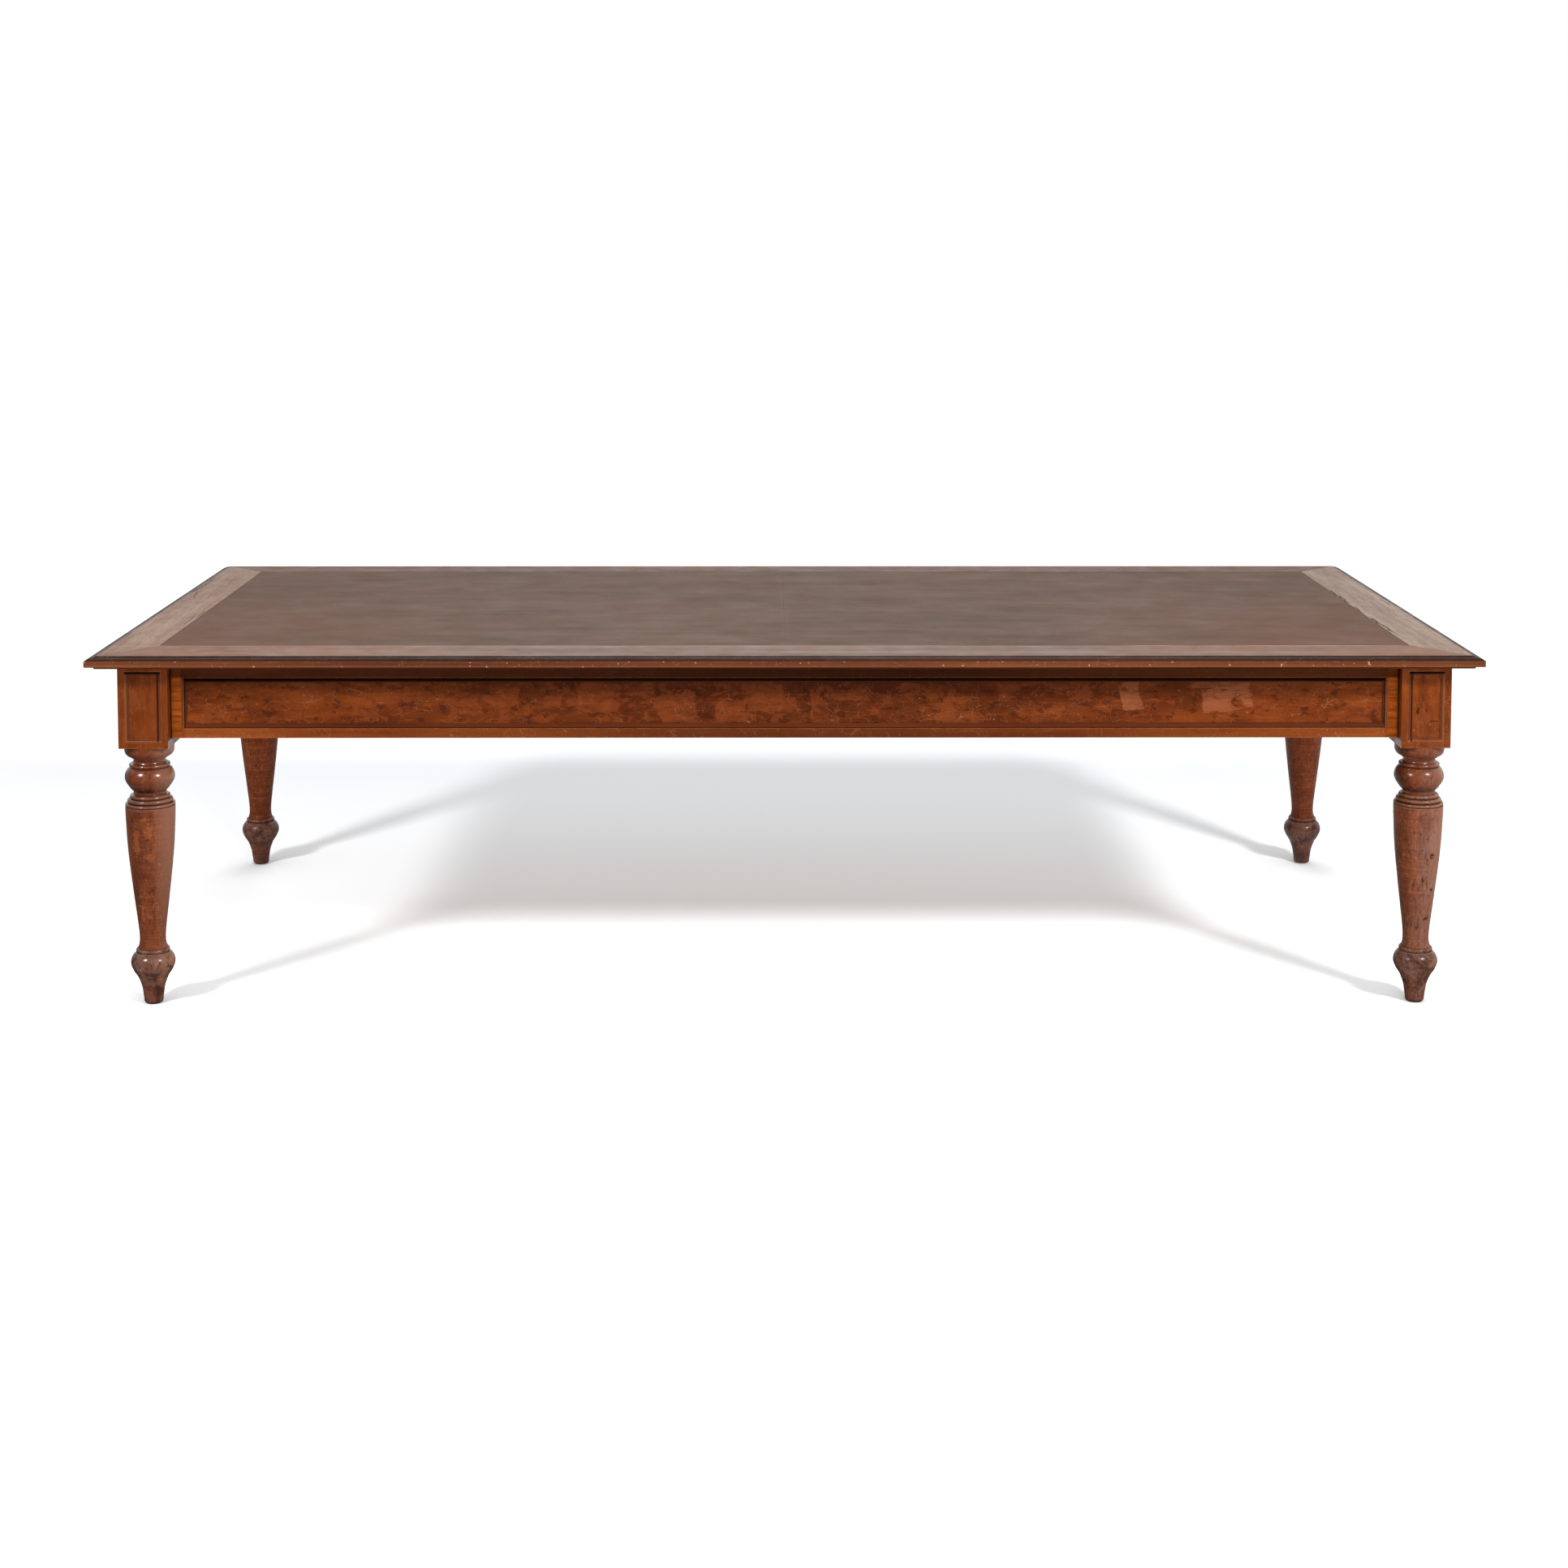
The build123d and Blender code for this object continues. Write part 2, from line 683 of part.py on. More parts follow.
# Glue blocks in the corner between a rail and the lining, clear of bearers and braces
brace_end_x = block_inner_x - brace_reach
brace_end_y = block_inner_y - brace_reach
inner_bay = bearer_spacing - bearer_thickness
inner_places = [bearer_thickness / 2 + inner_bay * share for share in (1 / 3, 2 / 3)]
outer_place = (brace_end_x + bearer_spacing + bearer_thickness / 2) / 2
long_places = [side * place for side in (-1, 1) for place in (*inner_places, outer_place)]
short_places = (-brace_end_y / 2, 0, brace_end_y / 2)
for side, (face, span) in frieze_sides.items():
    places = long_places if side in ("front", "back") else short_places
    with BuildPart() as glue_blocks:
        with BuildSketch(face.offset(-rail_thickness)):
            with Locations(*[(place, frame_top - glue_block_size / 2) for place in places]):
                Rectangle(glue_block_length, glue_block_size)
        extrude(amount=-glue_block_size)
    save(glue_blocks.part, f"glue_blocks_{side}")
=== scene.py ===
import math

import bpy
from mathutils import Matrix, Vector


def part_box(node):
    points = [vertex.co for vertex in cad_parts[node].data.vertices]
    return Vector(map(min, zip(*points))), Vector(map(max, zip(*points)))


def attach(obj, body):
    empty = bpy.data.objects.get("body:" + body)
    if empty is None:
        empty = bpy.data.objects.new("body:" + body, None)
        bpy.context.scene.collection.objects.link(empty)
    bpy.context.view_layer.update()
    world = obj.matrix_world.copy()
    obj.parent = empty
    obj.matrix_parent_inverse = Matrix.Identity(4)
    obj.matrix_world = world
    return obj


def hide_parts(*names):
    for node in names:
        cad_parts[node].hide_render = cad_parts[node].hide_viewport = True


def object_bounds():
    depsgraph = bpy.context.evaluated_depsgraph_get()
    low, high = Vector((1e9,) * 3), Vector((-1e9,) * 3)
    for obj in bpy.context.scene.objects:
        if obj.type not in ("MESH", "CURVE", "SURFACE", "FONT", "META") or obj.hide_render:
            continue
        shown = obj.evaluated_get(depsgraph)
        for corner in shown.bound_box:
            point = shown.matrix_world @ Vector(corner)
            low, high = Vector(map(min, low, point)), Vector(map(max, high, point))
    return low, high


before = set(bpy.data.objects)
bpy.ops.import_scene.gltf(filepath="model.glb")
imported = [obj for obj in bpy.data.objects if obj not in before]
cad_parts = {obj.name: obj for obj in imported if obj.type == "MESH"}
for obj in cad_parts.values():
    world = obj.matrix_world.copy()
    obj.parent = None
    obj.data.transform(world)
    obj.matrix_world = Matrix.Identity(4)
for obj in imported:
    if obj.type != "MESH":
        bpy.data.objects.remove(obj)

packed_low, packed_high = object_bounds()
bpy.context.scene.view_settings.view_transform = "Standard"


# The camera stands in front of the middle of the table, at about standing height, and looks
# down a little. The lens is shifted down, so that the legs stay almost upright in the picture.
lens_pixels, picture_pixels, sensor_width = 3155.0, 1932, 36.0
axis_below_top = 500
camera_place = (-0.0399, -5.9467, 1.6951)
look_down, look_right, camera_roll = 0.0776, 0.0067, -0.0008

bpy.ops.object.camera_add(
    location=camera_place,
    rotation=(math.pi / 2 - look_down, camera_roll, -look_right),
)
camera = bpy.context.object
camera.data.sensor_width = sensor_width
camera.data.lens = lens_pixels / picture_pixels * sensor_width
camera.data.shift_y = (axis_below_top - picture_pixels / 2) / picture_pixels
camera.data.clip_end = 200
bpy.context.scene.camera = camera


# The studio is a pale floor that runs out to white, under two soft lamps high at the front left
# and front right, a weaker one low beside the camera, and a large weak one behind. The room
# lights the table evenly, but the polish sees it dim in front and on the left.
def join(tree, socket, value):
    """Links a socket to another node's result, or sets it."""
    if isinstance(value, bpy.types.NodeSocket):
        tree.links.new(value, socket)
    else:
        socket.default_value = value


def lay(tree, kind, sockets=(), **settings):
    """Adds a node to a tree, with its settings, and its sockets by name or number."""
    node = tree.nodes.new("ShaderNode" + kind)
    for name, value in settings.items():
        setattr(node, name, value)
    for key, value in dict(sockets).items():
        join(tree, node.inputs[key], value)
    return node


def reckon(tree, operation, *values):
    """The result of a sum on numbers that change over the surface."""
    node = lay(tree, "Math", operation=operation)
    for socket, value in zip(node.inputs, values):
        join(tree, socket, value)
    return node.outputs[0]


def times(tree, first, second):
    """The product of two numbers that change over the surface."""
    return reckon(tree, "MULTIPLY", first, second)


def between(tree, value, low, high, at_low=0.0, at_high=1.0):
    """Maps a value from one range to another, held at both ends."""
    return lay(tree, "MapRange", {0: value, 1: low, 2: high, 3: at_low, 4: at_high}).outputs[0]


def axes(tree, place):
    """A place taken apart into X, Y and Z."""
    return lay(tree, "SeparateXYZ", {0: place}).outputs


def dye(red, green, blue):
    """A colour as it is seen, from 0 to 255, as the shader wants it."""
    seen = [part / 255 for part in (red, green, blue)]
    return [p / 12.92 if p <= 0.04045 else ((p + 0.055) / 1.055) ** 2.4 for p in seen] + [1.0]


def new_material(name):
    """A material with its tree, its shader and the place of each point in the frame."""
    material = bpy.data.materials.new(name)
    material.use_nodes = True
    tree = material.node_tree
    place = tree.nodes.new("ShaderNodeTexCoord").outputs["Object"]
    return material, tree, tree.nodes["Principled BSDF"], place


room_light, front_reflection, left_reflection = 0.28, 0.03, 0.35
floor_lit, floor_shown, floor_mirrored = 0.8, 1.75, 0.04
under_glow, back_glow, far_glow, wall_glow = 0.135, 0.0, 0.40, 0.60
floor_tint = (0.975, 1.0, 1.022)
mirrored_glow = 0.6
under_table, behind_table = 0.4, 1.6
beside_table, far_off = 1.7, 9.0
wall_foot, up_wall = 2.2, 6.0
floor_size, floor_drop = 60, 0.0003

# where the reflections turn from dim to bright: in the room by heading, on the floor by place
dim_ahead, bright_behind = -0.15, 0.35
dim_left, bright_right = -0.9, -0.3
floor_dim_front, floor_bright_back = -0.5, 0.8
floor_dim_left, floor_bright_right = -1.6, 0.4

world = bpy.data.worlds.new("studio")
bpy.context.scene.world = world
world.use_nodes = True
air = world.node_tree
air.nodes.clear()
ray = lay(air, "LightPath").outputs
heading = air.nodes.new("ShaderNodeTexCoord").outputs["Generated"]
heading = axes(air, heading)
sweep = times(air, between(air, heading["Y"], dim_ahead, bright_behind, front_reflection, 1.0),
              between(air, heading["X"], dim_left, bright_right, left_reflection, 1.0))
mirrored = times(air, ray["Is Glossy Ray"], sweep)
seen = reckon(air, "ADD", ray["Is Camera Ray"], ray["Is Transmission Ray"])
seen = reckon(air, "ADD", seen, mirrored)
lit = times(air, ray["Is Diffuse Ray"], room_light)
strength = reckon(air, "ADD", seen, lit)
white_room = lay(air, "Background", {0: (1, 1, 1, 1), 1: strength})
lay(air, "OutputWorld", {0: white_room.outputs[0]})

bpy.ops.mesh.primitive_plane_add(size=floor_size, location=(0, 0, -floor_drop))
floor = bpy.context.object
floor.name = "studio_floor"
pale_floor, tree, shader, place = new_material("pale_floor")
light_path = lay(tree, "LightPath").outputs
in_picture = light_path["Is Camera Ray"]
paleness = reckon(tree, "MULTIPLY_ADD", in_picture, floor_shown - floor_lit, floor_lit)
paleness = reckon(tree, "MULTIPLY_ADD", light_path["Is Glossy Ray"], floor_mirrored - floor_lit,
                  paleness)
# A painted contact shadow darkens the floor and its glow close round the feet
painted_contact_shadow = lay(tree, "AmbientOcclusion", {"Distance": 0.2}, samples=8).outputs["AO"]
painted_contact_shadow = between(tree, painted_contact_shadow, 0.2, 0.95, 0.55, 1.0)
paleness = times(tree, paleness, painted_contact_shadow)
join(tree, shader.inputs["Base Color"], lay(tree, "VectorMath", {
    0: floor_tint, "Scale": paleness}, operation="SCALE").outputs[0])
shader.inputs["Roughness"].default_value = 0.9
shader.inputs["Specular IOR Level"].default_value = 0.0
narrowed = lay(tree, "VectorMath", {0: place, 1: (1.0, 0.45, 1.0)}, operation="MULTIPLY")
away = lay(tree, "VectorMath", {0: narrowed.outputs[0]}, operation="LENGTH").outputs["Value"]
on_floor = axes(tree, place)
near = between(tree, on_floor["Y"], under_table, behind_table, under_glow, back_glow)
far = between(tree, away, beside_table, far_off, 0.0, far_glow)
wall = between(tree, on_floor["Y"], wall_foot, up_wall, 0.0, wall_glow)
glow = reckon(tree, "ADD", reckon(tree, "ADD", near, far), wall)
glow = times(tree, in_picture, times(tree, glow, painted_contact_shadow))
sheen = times(tree, between(tree, on_floor["Y"], floor_dim_front, floor_bright_back),
              between(tree, on_floor["X"], floor_dim_left, floor_bright_right,
                      left_reflection, 1.0))
sheen = times(tree, times(tree, sheen, mirrored_glow), light_path["Is Glossy Ray"])
join(tree, shader.inputs["Emission Color"], reckon(tree, "ADD", glow, sheen))
shader.inputs["Emission Strength"].default_value = 1.0
floor.data.materials.append(pale_floor)

lamps = {
    # place, what it points at, width and height, power
    "lamp_front_left": ((-4.2, -4.4, 3.9), (-0.2, -0.3, 0.5), (0.9, 0.9), 172),
    "lamp_front_right": ((4.0, -4.6, 4.0), (0.2, -0.3, 0.5), (0.9, 0.9), 215),
    "lamp_low": ((1.4, -6.8, 1.5), (0, -0.6, 0.4), (1.4, 1.0), 105),
    "lamp_behind": ((0.0, 5.0, 4.4), (0, 0, 0.7), (4.0, 2.0), 55),
}
for name, (where, target, size, power) in lamps.items():
    aim = (Vector(target) - Vector(where)).to_track_quat("-Z", "Y").to_euler()
    bpy.ops.object.light_add(type="AREA", location=where, rotation=aim)
    lamp = bpy.context.object
    lamp.name = name
    lamp.data.shape = "RECTANGLE"
    lamp.data.size, lamp.data.size_y = size
    lamp.data.energy = power
    lamp.visible_camera = False
    lamp.visible_glossy = name != "lamp_low"


# The four legs are each turned from one length of mahogany, with a square block left at the top
# for the rails. They are french polished, deep red on the turning, and rubbed bright on the
# beads by feet and chairs, with dirt and painted shade dark in the hollows, and painted light
# and shade on the turning.
def recipe(name, inputs, outputs):
    """A new shader node group, with what goes in and what comes out."""
    tree = bpy.data.node_groups.new(name, "ShaderNodeTree")
    for label, kind, value in inputs:
        socket = tree.interface.new_socket(label, in_out="INPUT", socket_type="NodeSocket" + kind)
        if value is not None:
            socket.default_value = value
    for label in outputs:
        tree.interface.new_socket(label, in_out="OUTPUT", socket_type="NodeSocketFloat")
    return tree, tree.nodes.new("NodeGroupInput").outputs, tree.nodes.new("NodeGroupOutput").inputs


def use(tree, group, sockets):
    """Places a node group in a tree and gives its results."""
    return lay(tree, "Group", sockets, node_tree=group).outputs


def blend(tree, share, under, over):
    """One colour laid over another."""
    return lay(tree, "Mix", {0: share, 6: under, 7: over}, data_type="RGBA").outputs[2]


def stained(tree, colour, where, strength, tone):
    """A colour with another laid over it in places, up to a given strength."""
    return blend(tree, times(tree, where, strength), colour, tone)


def rest(tree, share):
    """What a share leaves of one."""
    return reckon(tree, "SUBTRACT", 1.0, share)


def unsigned(tree, value):
    """A number without its sign."""
    return reckon(tree, "ABSOLUTE", value)


def noise(tree, vector, scale, detail=2.0, roughness=0.5, distortion=0.0):
    """A cloudy pattern from 0 to 1."""
    sockets = {"Vector": vector, "Scale": scale, "Detail": detail,
               "Roughness": roughness, "Distortion": distortion}
    return lay(tree, "TexNoise", sockets).outputs[0]


def stretched(tree, vector, factors=(1, 1, 1), turn=(0, 0, 0)):
    """The same place, turned and then scaled along each axis."""
    return lay(tree, "Mapping", {"Vector": vector, "Rotation": turn, "Scale": factors}).outputs[0]


# The grain: broad figure, fine fibres and short open pores, all along X
timber_grain, given, result = recipe(
    "timber_grain", [("Along", "Vector", None), ("Coarseness", "Float", 1.0)],
    ["Figure", "Fibre", "Pores"])
g = timber_grain
wander = noise(g, stretched(g, given["Along"], (2.5, 9, 9)), 1.0, 2)
wander = lay(g, "CombineXYZ", {1: times(g, wander, 0.035),
                               2: times(g, wander, 0.028)}).outputs[0]
wavy = lay(g, "VectorMath", {0: given["Along"], 1: wander}, operation="ADD").outputs[0]
wavy = lay(g, "VectorMath", {0: wavy, "Scale": given["Coarseness"]}, operation="SCALE").outputs[0]
join(g, result["Figure"], between(g, noise(g, stretched(g, wavy, (1.4, 26, 26)), 1.0, 3, 0.55),
                                  0.3, 0.7))
join(g, result["Fibre"], between(g, noise(g, stretched(g, wavy, (7, 260, 260)), 1.0, 3, 0.6),
                                 0.25, 0.75))
join(g, result["Pores"], between(g, noise(g, stretched(g, wavy, (34, 900, 900)), 1.0, 1, 0.5),
                                 0.60, 0.72))

# Where an arris is rubbed, and where dirt and painted shade darken a corner
rubbed_arris, given, result = recipe(
    "rubbed_arris", [("Place", "Vector", None), ("Reach", "Float", 0.003)], ["Wear"])
g = rubbed_arris
solid_round = lay(g, "AmbientOcclusion", {"Distance": given["Reach"]}, samples=6, inside=True,
                  only_local=True).outputs["AO"]
edge = between(g, solid_round, 0.80, 0.45)
patchy = between(g, noise(g, given["Place"], 55, 4, 0.6), 0.32, 0.60, 0.15, 1.0)
join(g, result["Wear"], times(g, edge, patchy))

corner_dirt_and_shade, given, result = recipe(
    "corner_dirt_and_shade", [("Place", "Vector", None), ("Reach", "Float", 0.01)], ["Dirt"])
g = corner_dirt_and_shade
open_air = lay(g, "AmbientOcclusion", {"Distance": given["Reach"]}, samples=6).outputs["AO"]
patchy = between(g, noise(g, given["Place"], 35, 3, 0.6), 0.25, 0.7, 0.55, 1.0)
join(g, result["Dirt"], times(g, between(g, open_air, 0.85, 0.35), patchy))

# Hairline scratches: short bits of thin curved lines, and pale nicks between them
hairlines, given, result = recipe(
    "hairlines", [("Place", "Vector", None), ("Amount", "Float", 0.5)], ["Scratch", "Nick"])
g = hairlines
lines = None
for scale, turn, pull in ((26, 0.5, (1, 1, 2.6)), (44, -0.9, (2.2, 1, 1)), (70, 1.7, (1, 2, 1.4))):
    turned = stretched(g, given["Place"], pull, (turn, turn * 0.7, turn * 1.3))
    bent = noise(g, turned, scale * 0.6, 1)
    bent = lay(g, "VectorMath", {0: turned, 1: lay(g, "VectorMath", {
        0: (0.02, 0.015, 0.018), "Scale": bent}, operation="SCALE").outputs[0]},
        operation="ADD").outputs[0]
    crack = lay(g, "TexVoronoi", {"Vector": bent, "Scale": scale},
                feature="DISTANCE_TO_EDGE").outputs[0]
    thin = between(g, crack, 0.004, 0.014, 1.0, 0.0)
    kept = between(g, noise(g, turned, scale * 0.45, 2, 0.7), 0.55, 0.62)
    line = times(g, thin, kept)
    lines = line if lines is None else reckon(g, "MAXIMUM", lines, line)
join(g, result["Scratch"], times(g, lines, given["Amount"]))
spots = lay(g, "TexVoronoi", {"Vector": given["Place"], "Scale": 95}).outputs
nick = times(g, between(g, spots["Distance"], 0.05, 0.1, 1.0, 0.0),
             between(g, lay(g, "SeparateColor", {0: spots["Color"]}).outputs[0], 0.9, 0.93))
join(g, result["Nick"], times(g, nick, given["Amount"]))

# One place on a surface: a lifted patch, a stain or a gouge, with wandering edges
marked_place, given, result = recipe(
    "marked_place",
    [("Place", "Vector", None), ("Centre", "Vector", None), ("Turn", "Vector", None),
     ("Size", "Vector", (1, 1, 1))], ["Patch", "Spot"])
g = marked_place
drift = lay(g, "TexNoise", {"Vector": given["Place"], "Scale": 16, "Detail": 1.0}).outputs["Color"]
drift = lay(g, "VectorMath", {0: drift, 1: (0.5, 0.5, 0.5)}, operation="SUBTRACT").outputs[0]
inside = lay(g, "Mapping", {"Vector": given["Place"], "Location": given["Centre"],
                            "Rotation": given["Turn"], "Scale": given["Size"]},
             vector_type="TEXTURE").outputs[0]
inside = lay(g, "VectorMath", {0: drift, 1: (1.1, 0, 1.1), 2: inside},
             operation="MULTIPLY_ADD").outputs[0]
across = axes(g, inside)
reach = reckon(g, "MAXIMUM", unsigned(g, across["X"]), unsigned(g, across["Z"]))
torn = between(g, noise(g, given["Place"], 170, 3, 0.65), 0.3, 0.7, -0.08, 0.08)
join(g, result["Patch"], between(g, reckon(g, "ADD", reach, torn), 0.93, 1.0, 1.0, 0.0))
flat = lay(g, "CombineXYZ", {0: across["X"], 2: across["Z"]}).outputs[0]
far = lay(g, "VectorMath", {0: flat}, operation="LENGTH")
broken = between(g, noise(g, stretched(g, given["Place"], (120, 120, 220)), 1.0, 4, 0.7),
                 0.3, 0.7, -0.75, 0.75)
join(g, result["Spot"], between(g, reckon(g, "ADD", far.outputs["Value"], broken), 0.70, 0.95,
                                1.0, 0.0))

# Rub marks: pale dry streaks where the polish has been dragged off along the grain
rub_marks, given, result = recipe(
    "rub_marks", [("Along", "Vector", None), ("Amount", "Float", 0.5)], ["Rub"])
g = rub_marks
streak = between(g, noise(g, stretched(g, given["Along"], (42, 420, 420)), 1.0, 3, 0.7, 0.6),
                 0.56, 0.68)
zone = between(g, noise(g, stretched(g, given["Along"], (5, 16, 16)), 1.0, 4, 0.65), 0.50, 0.66)
join(g, result["Rub"], times(g, times(g, streak, zone), given["Amount"]))


def uneven(tree, place, scale, low, high):
    """A number that wanders between two values over the surface."""
    return between(tree, noise(tree, place, scale, 3, 0.6), 0.3, 0.7, low, high)


def aged(tree, colour, place, dirt_and_shade, wear):
    """Corners darkened by grime and painted shade, and rubbed arrises, each with its reach,
    strength and tone.
    """
    for group, (reach, strength, tone) in ((corner_dirt_and_shade, dirt_and_shade), (rubbed_arris, wear)):
        where = use(tree, group, {"Place": place, "Reach": reach})[0]
        colour = stained(tree, colour, where, strength, tone)
    return colour


def mottled(tree, colour, pattern, where, layers):
    """Tones laid over a colour, each in its own range of a pattern."""
    for low, high, strength, tone in layers:
        colour = stained(tree, colour, between(tree, pattern, low, high),
                         times(tree, where, strength), tone)
    return colour


def lessened(tree, value, where, left):
    """A number cut down in places to a share of itself."""
    return times(tree, value, between(tree, where, 0.0, 1.0, 1.0, left))


def polish(tree, shader, colour, rough, relief, depth, strength, shine):
    """Feeds the shader with a finished colour, roughness, relief and shine."""
    join(tree, shader.inputs["Base Color"], colour)
    join(tree, shader.inputs["Roughness"], rough)
    shader.inputs["Specular IOR Level"].default_value = shine
    bump = lay(tree, "Bump", {"Strength": strength, "Distance": depth, "Height": relief})
    join(tree, shader.inputs["Normal"], bump.outputs[0])


def dress(names, material):
    """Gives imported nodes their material."""
    for name in names:
        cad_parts[name].material_slots[0].material = material


upright_grain = (0, math.pi / 2, 0)

# heights on a leg and distances from its axis, in metres
block_foot, bulb_foot, vase_top, foot_top = 0.559, 0.453, 0.426, 0.122
rail_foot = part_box("rail_front")[0].z
leg_axis, block_half, leg_front = 1.3485, 0.0520, -0.63
recess_mouth = 0.620
bulb_side, crisp = 0.026, 0.0002
ring_low, ring_high = 0.1118, 0.1130

# middle of each mark on the front legs and on the right block, along the table and above the
# floor, then its width and height
bright_spots = [
    (-1.3394, 0.3818, 0.016, 0.036), (-1.3387, 0.3263, 0.024, 0.020),
    (-1.3688, 0.3576, 0.016, 0.075), (-1.3615, 0.2010, 0.006, 0.050),
    (1.3444, 0.2453, 0.025, 0.004), (1.3204, 0.3273, 0.004, 0.012),
    # The second spot on the line below, an upright streak on the right block, is a painted
    # highlight
    (1.3586, 0.3482, 0.007, 0.010), (1.3754, 0.6898, 0.0036, 0.027),
]
gouges = [
    (1.3308, 0.6379, 0.006, 0.015), (1.3487, 0.6388, 0.004, 0.008),
    (1.3663, 0.6154, 0.018, 0.0036), (1.3693, 0.3255, 0.009, 0.016),
    (1.3507, 0.2732, 0.005, 0.018), (1.3717, 0.2505, 0.008, 0.010),
    (1.3593, 0.1858, 0.014, 0.009), (1.3233, 0.0491, 0.006, 0.006),
]

leg_mahogany, tree, shader, place = new_material("leg_mahogany")
upright = stretched(tree, place, turn=upright_grain)
grain = use(tree, timber_grain, {"Along": upright})

# Where the block, the bulb, the beads and the foot are, and which leg it is
split = axes(tree, place)
height = split["Z"]
on_block = between(tree, height, block_foot - 0.001, block_foot + 0.001)
turned = rest(tree, on_block)
at_back = between(tree, split["Y"], 0, 0.1)
in_front = rest(tree, at_back)
at_right = times(tree, between(tree, split["X"], 0, 0.1), in_front)
on_foot = between(tree, height, foot_top, foot_top - 0.004)
on_beads = times(tree, between(tree, height, vase_top, vase_top + 0.002),
                 between(tree, height, bulb_foot, bulb_foot - 0.004))
off_axis_out = reckon(tree, "SUBTRACT", unsigned(tree, split["X"]), leg_axis)
off_axis = times(tree, off_axis_out, reckon(tree, "SIGN", split["X"]))
# The right-facing side of the front legs' turning, where light is painted on
painted_right_light = times(tree, between(tree, off_axis, 0.012, 0.042), times(tree, in_front, turned))

# The wood, clouded and glowing through the polish in spots
turned_wood = blend(tree, grain["Figure"], dye(112, 53, 29), dye(162, 85, 44))
block_wood = blend(tree, grain["Figure"], dye(114, 47, 5), dye(163, 78, 14))
colour = blend(tree, on_block, turned_wood, block_wood)
# Painted light makes the back legs lighter and more orange
colour = stained(tree, colour, at_back, 0.5, dye(156, 68, 20))
clouds = between(tree, noise(tree, place, 9, 3, 0.6), 0.35, 0.7)
colour = stained(tree, colour, clouds, 0.5, dye(78, 30, 14))
glow_spots = noise(tree, stretched(tree, place, (22, 22, 13)), 1.0, 4, 0.7)
glow_spots = between(tree, glow_spots, 0.50, 0.60)
colour = stained(tree, colour, glow_spots, times(tree, rest(tree, on_foot), 0.4),
                 dye(156, 80, 36))
colour = stained(tree, colour, grain["Fibre"], 0.35, dye(56, 21, 10))
colour = stained(tree, colour, grain["Pores"], 0.5, dye(40, 15, 8))

# Faint lines round the turning, left by the gouge and by rubbing
lathe = noise(tree, stretched(tree, place, (5, 5, 330)), 1.0, 3, 0.7)
colour = mottled(tree, colour, lathe, turned, [(0.5, 0.62, 0.3, dye(60, 26, 14)),
                                               (0.44, 0.34, 0.3, dye(170, 104, 70))])

# The bulb deepened in tone, with painted shade on its sides and in a dark band under it, and the
# foot darker
painted_shade_under_bulb = times(tree, between(tree, height, bulb_foot + 0.004, bulb_foot + 0.009),
                 between(tree, height, bulb_foot + 0.022, bulb_foot + 0.014))
on_bulb = times(tree, turned, between(tree, height, bulb_foot, bulb_foot + 0.004))
colour = stained(tree, colour, on_bulb, 0.45, dye(118, 50, 17))
painted_side_shade = between(tree, unsigned(tree, off_axis), bulb_side, bulb_side + 0.018)
colour = stained(tree, colour, times(tree, painted_side_shade, on_bulb), 0.6, dye(48, 20, 9))
colour = stained(tree, colour, painted_shade_under_bulb, 0.8, dye(30, 12, 6))
colour = stained(tree, colour, on_foot, 0.4, dye(72, 30, 17))

# Dull dry polish: on the feet, on the beads and collars, and all over the front right leg
bloom = between(tree, noise(tree, stretched(tree, place, (28, 28, 12)), 1.0, 6, 0.72),
                0.36, 0.60, 0.30, 0.95)
right_leg = times(tree, at_right, between(tree, off_axis, -0.032, 0.015, 0.0, 0.8))
right_leg = lessened(tree, right_leg, on_bulb, 0.5)
mid_foot = times(tree, on_foot, between(tree, height, 0.035, 0.07, 0.25, 0.65))
dull = reckon(tree, "MAXIMUM", right_leg, mid_foot)
dull = reckon(tree, "MAXIMUM", dull, times(tree, on_beads, 0.5))
dull = times(tree, times(tree, dull, bloom), turned)
colour = blend(tree, dull, colour, dye(146, 110, 96))
# Painted shade darkens the left side of the front right leg
painted_shade_left_of_right_leg = times(tree, times(tree, at_right, turned), between(tree, off_axis, -0.018, -0.042))
colour = stained(tree, colour, painted_shade_left_of_right_leg, 0.4, dye(62, 34, 24))

# Dark streaks and light and dark specks on the turning, and scuffs on the foot
streaks = noise(tree, stretched(tree, place, (300, 300, 16)), 1.0, 4, 0.7, 0.4)
colour = mottled(tree, colour, streaks, turned, [(0.52, 0.64, 0.35, dye(66, 34, 22))])
specks = noise(tree, stretched(tree, place, (130, 130, 90)), 1.0, 3, 0.7)
colour = mottled(tree, colour, specks, turned, [(0.57, 0.66, 0.55, dye(42, 20, 12)),
                                                (0.4, 0.33, 0.4, dye(172, 112, 80))])
# Painted light makes the right-facing side of the front legs paler
colour = stained(tree, colour, painted_right_light, 0.7, dye(170, 116, 90))
scuffed = noise(tree, place, 34, 5, 0.7)
colour = mottled(tree, colour, scuffed, on_foot, [(0.48, 0.58, 0.7, dye(50, 30, 21)),
                                                  (0.4, 0.34, 0.5, dye(156, 130, 112))])

# The ring over the foot is rubbed pale along its lower edge, and dirt and painted shade darken
# the corners
ring_line = times(tree, between(tree, height, ring_low - 0.0018, ring_low),
                  between(tree, height, ring_high + 0.0015, ring_high))
colour = stained(tree, colour, times(tree, ring_line, in_front), 0.5, dye(168, 138, 120))
dirt_and_shade = use(tree, corner_dirt_and_shade, {"Place": place, "Reach": 0.010})["Dirt"]
colour = stained(tree, colour, dirt_and_shade, 0.9, dye(24, 11, 7))

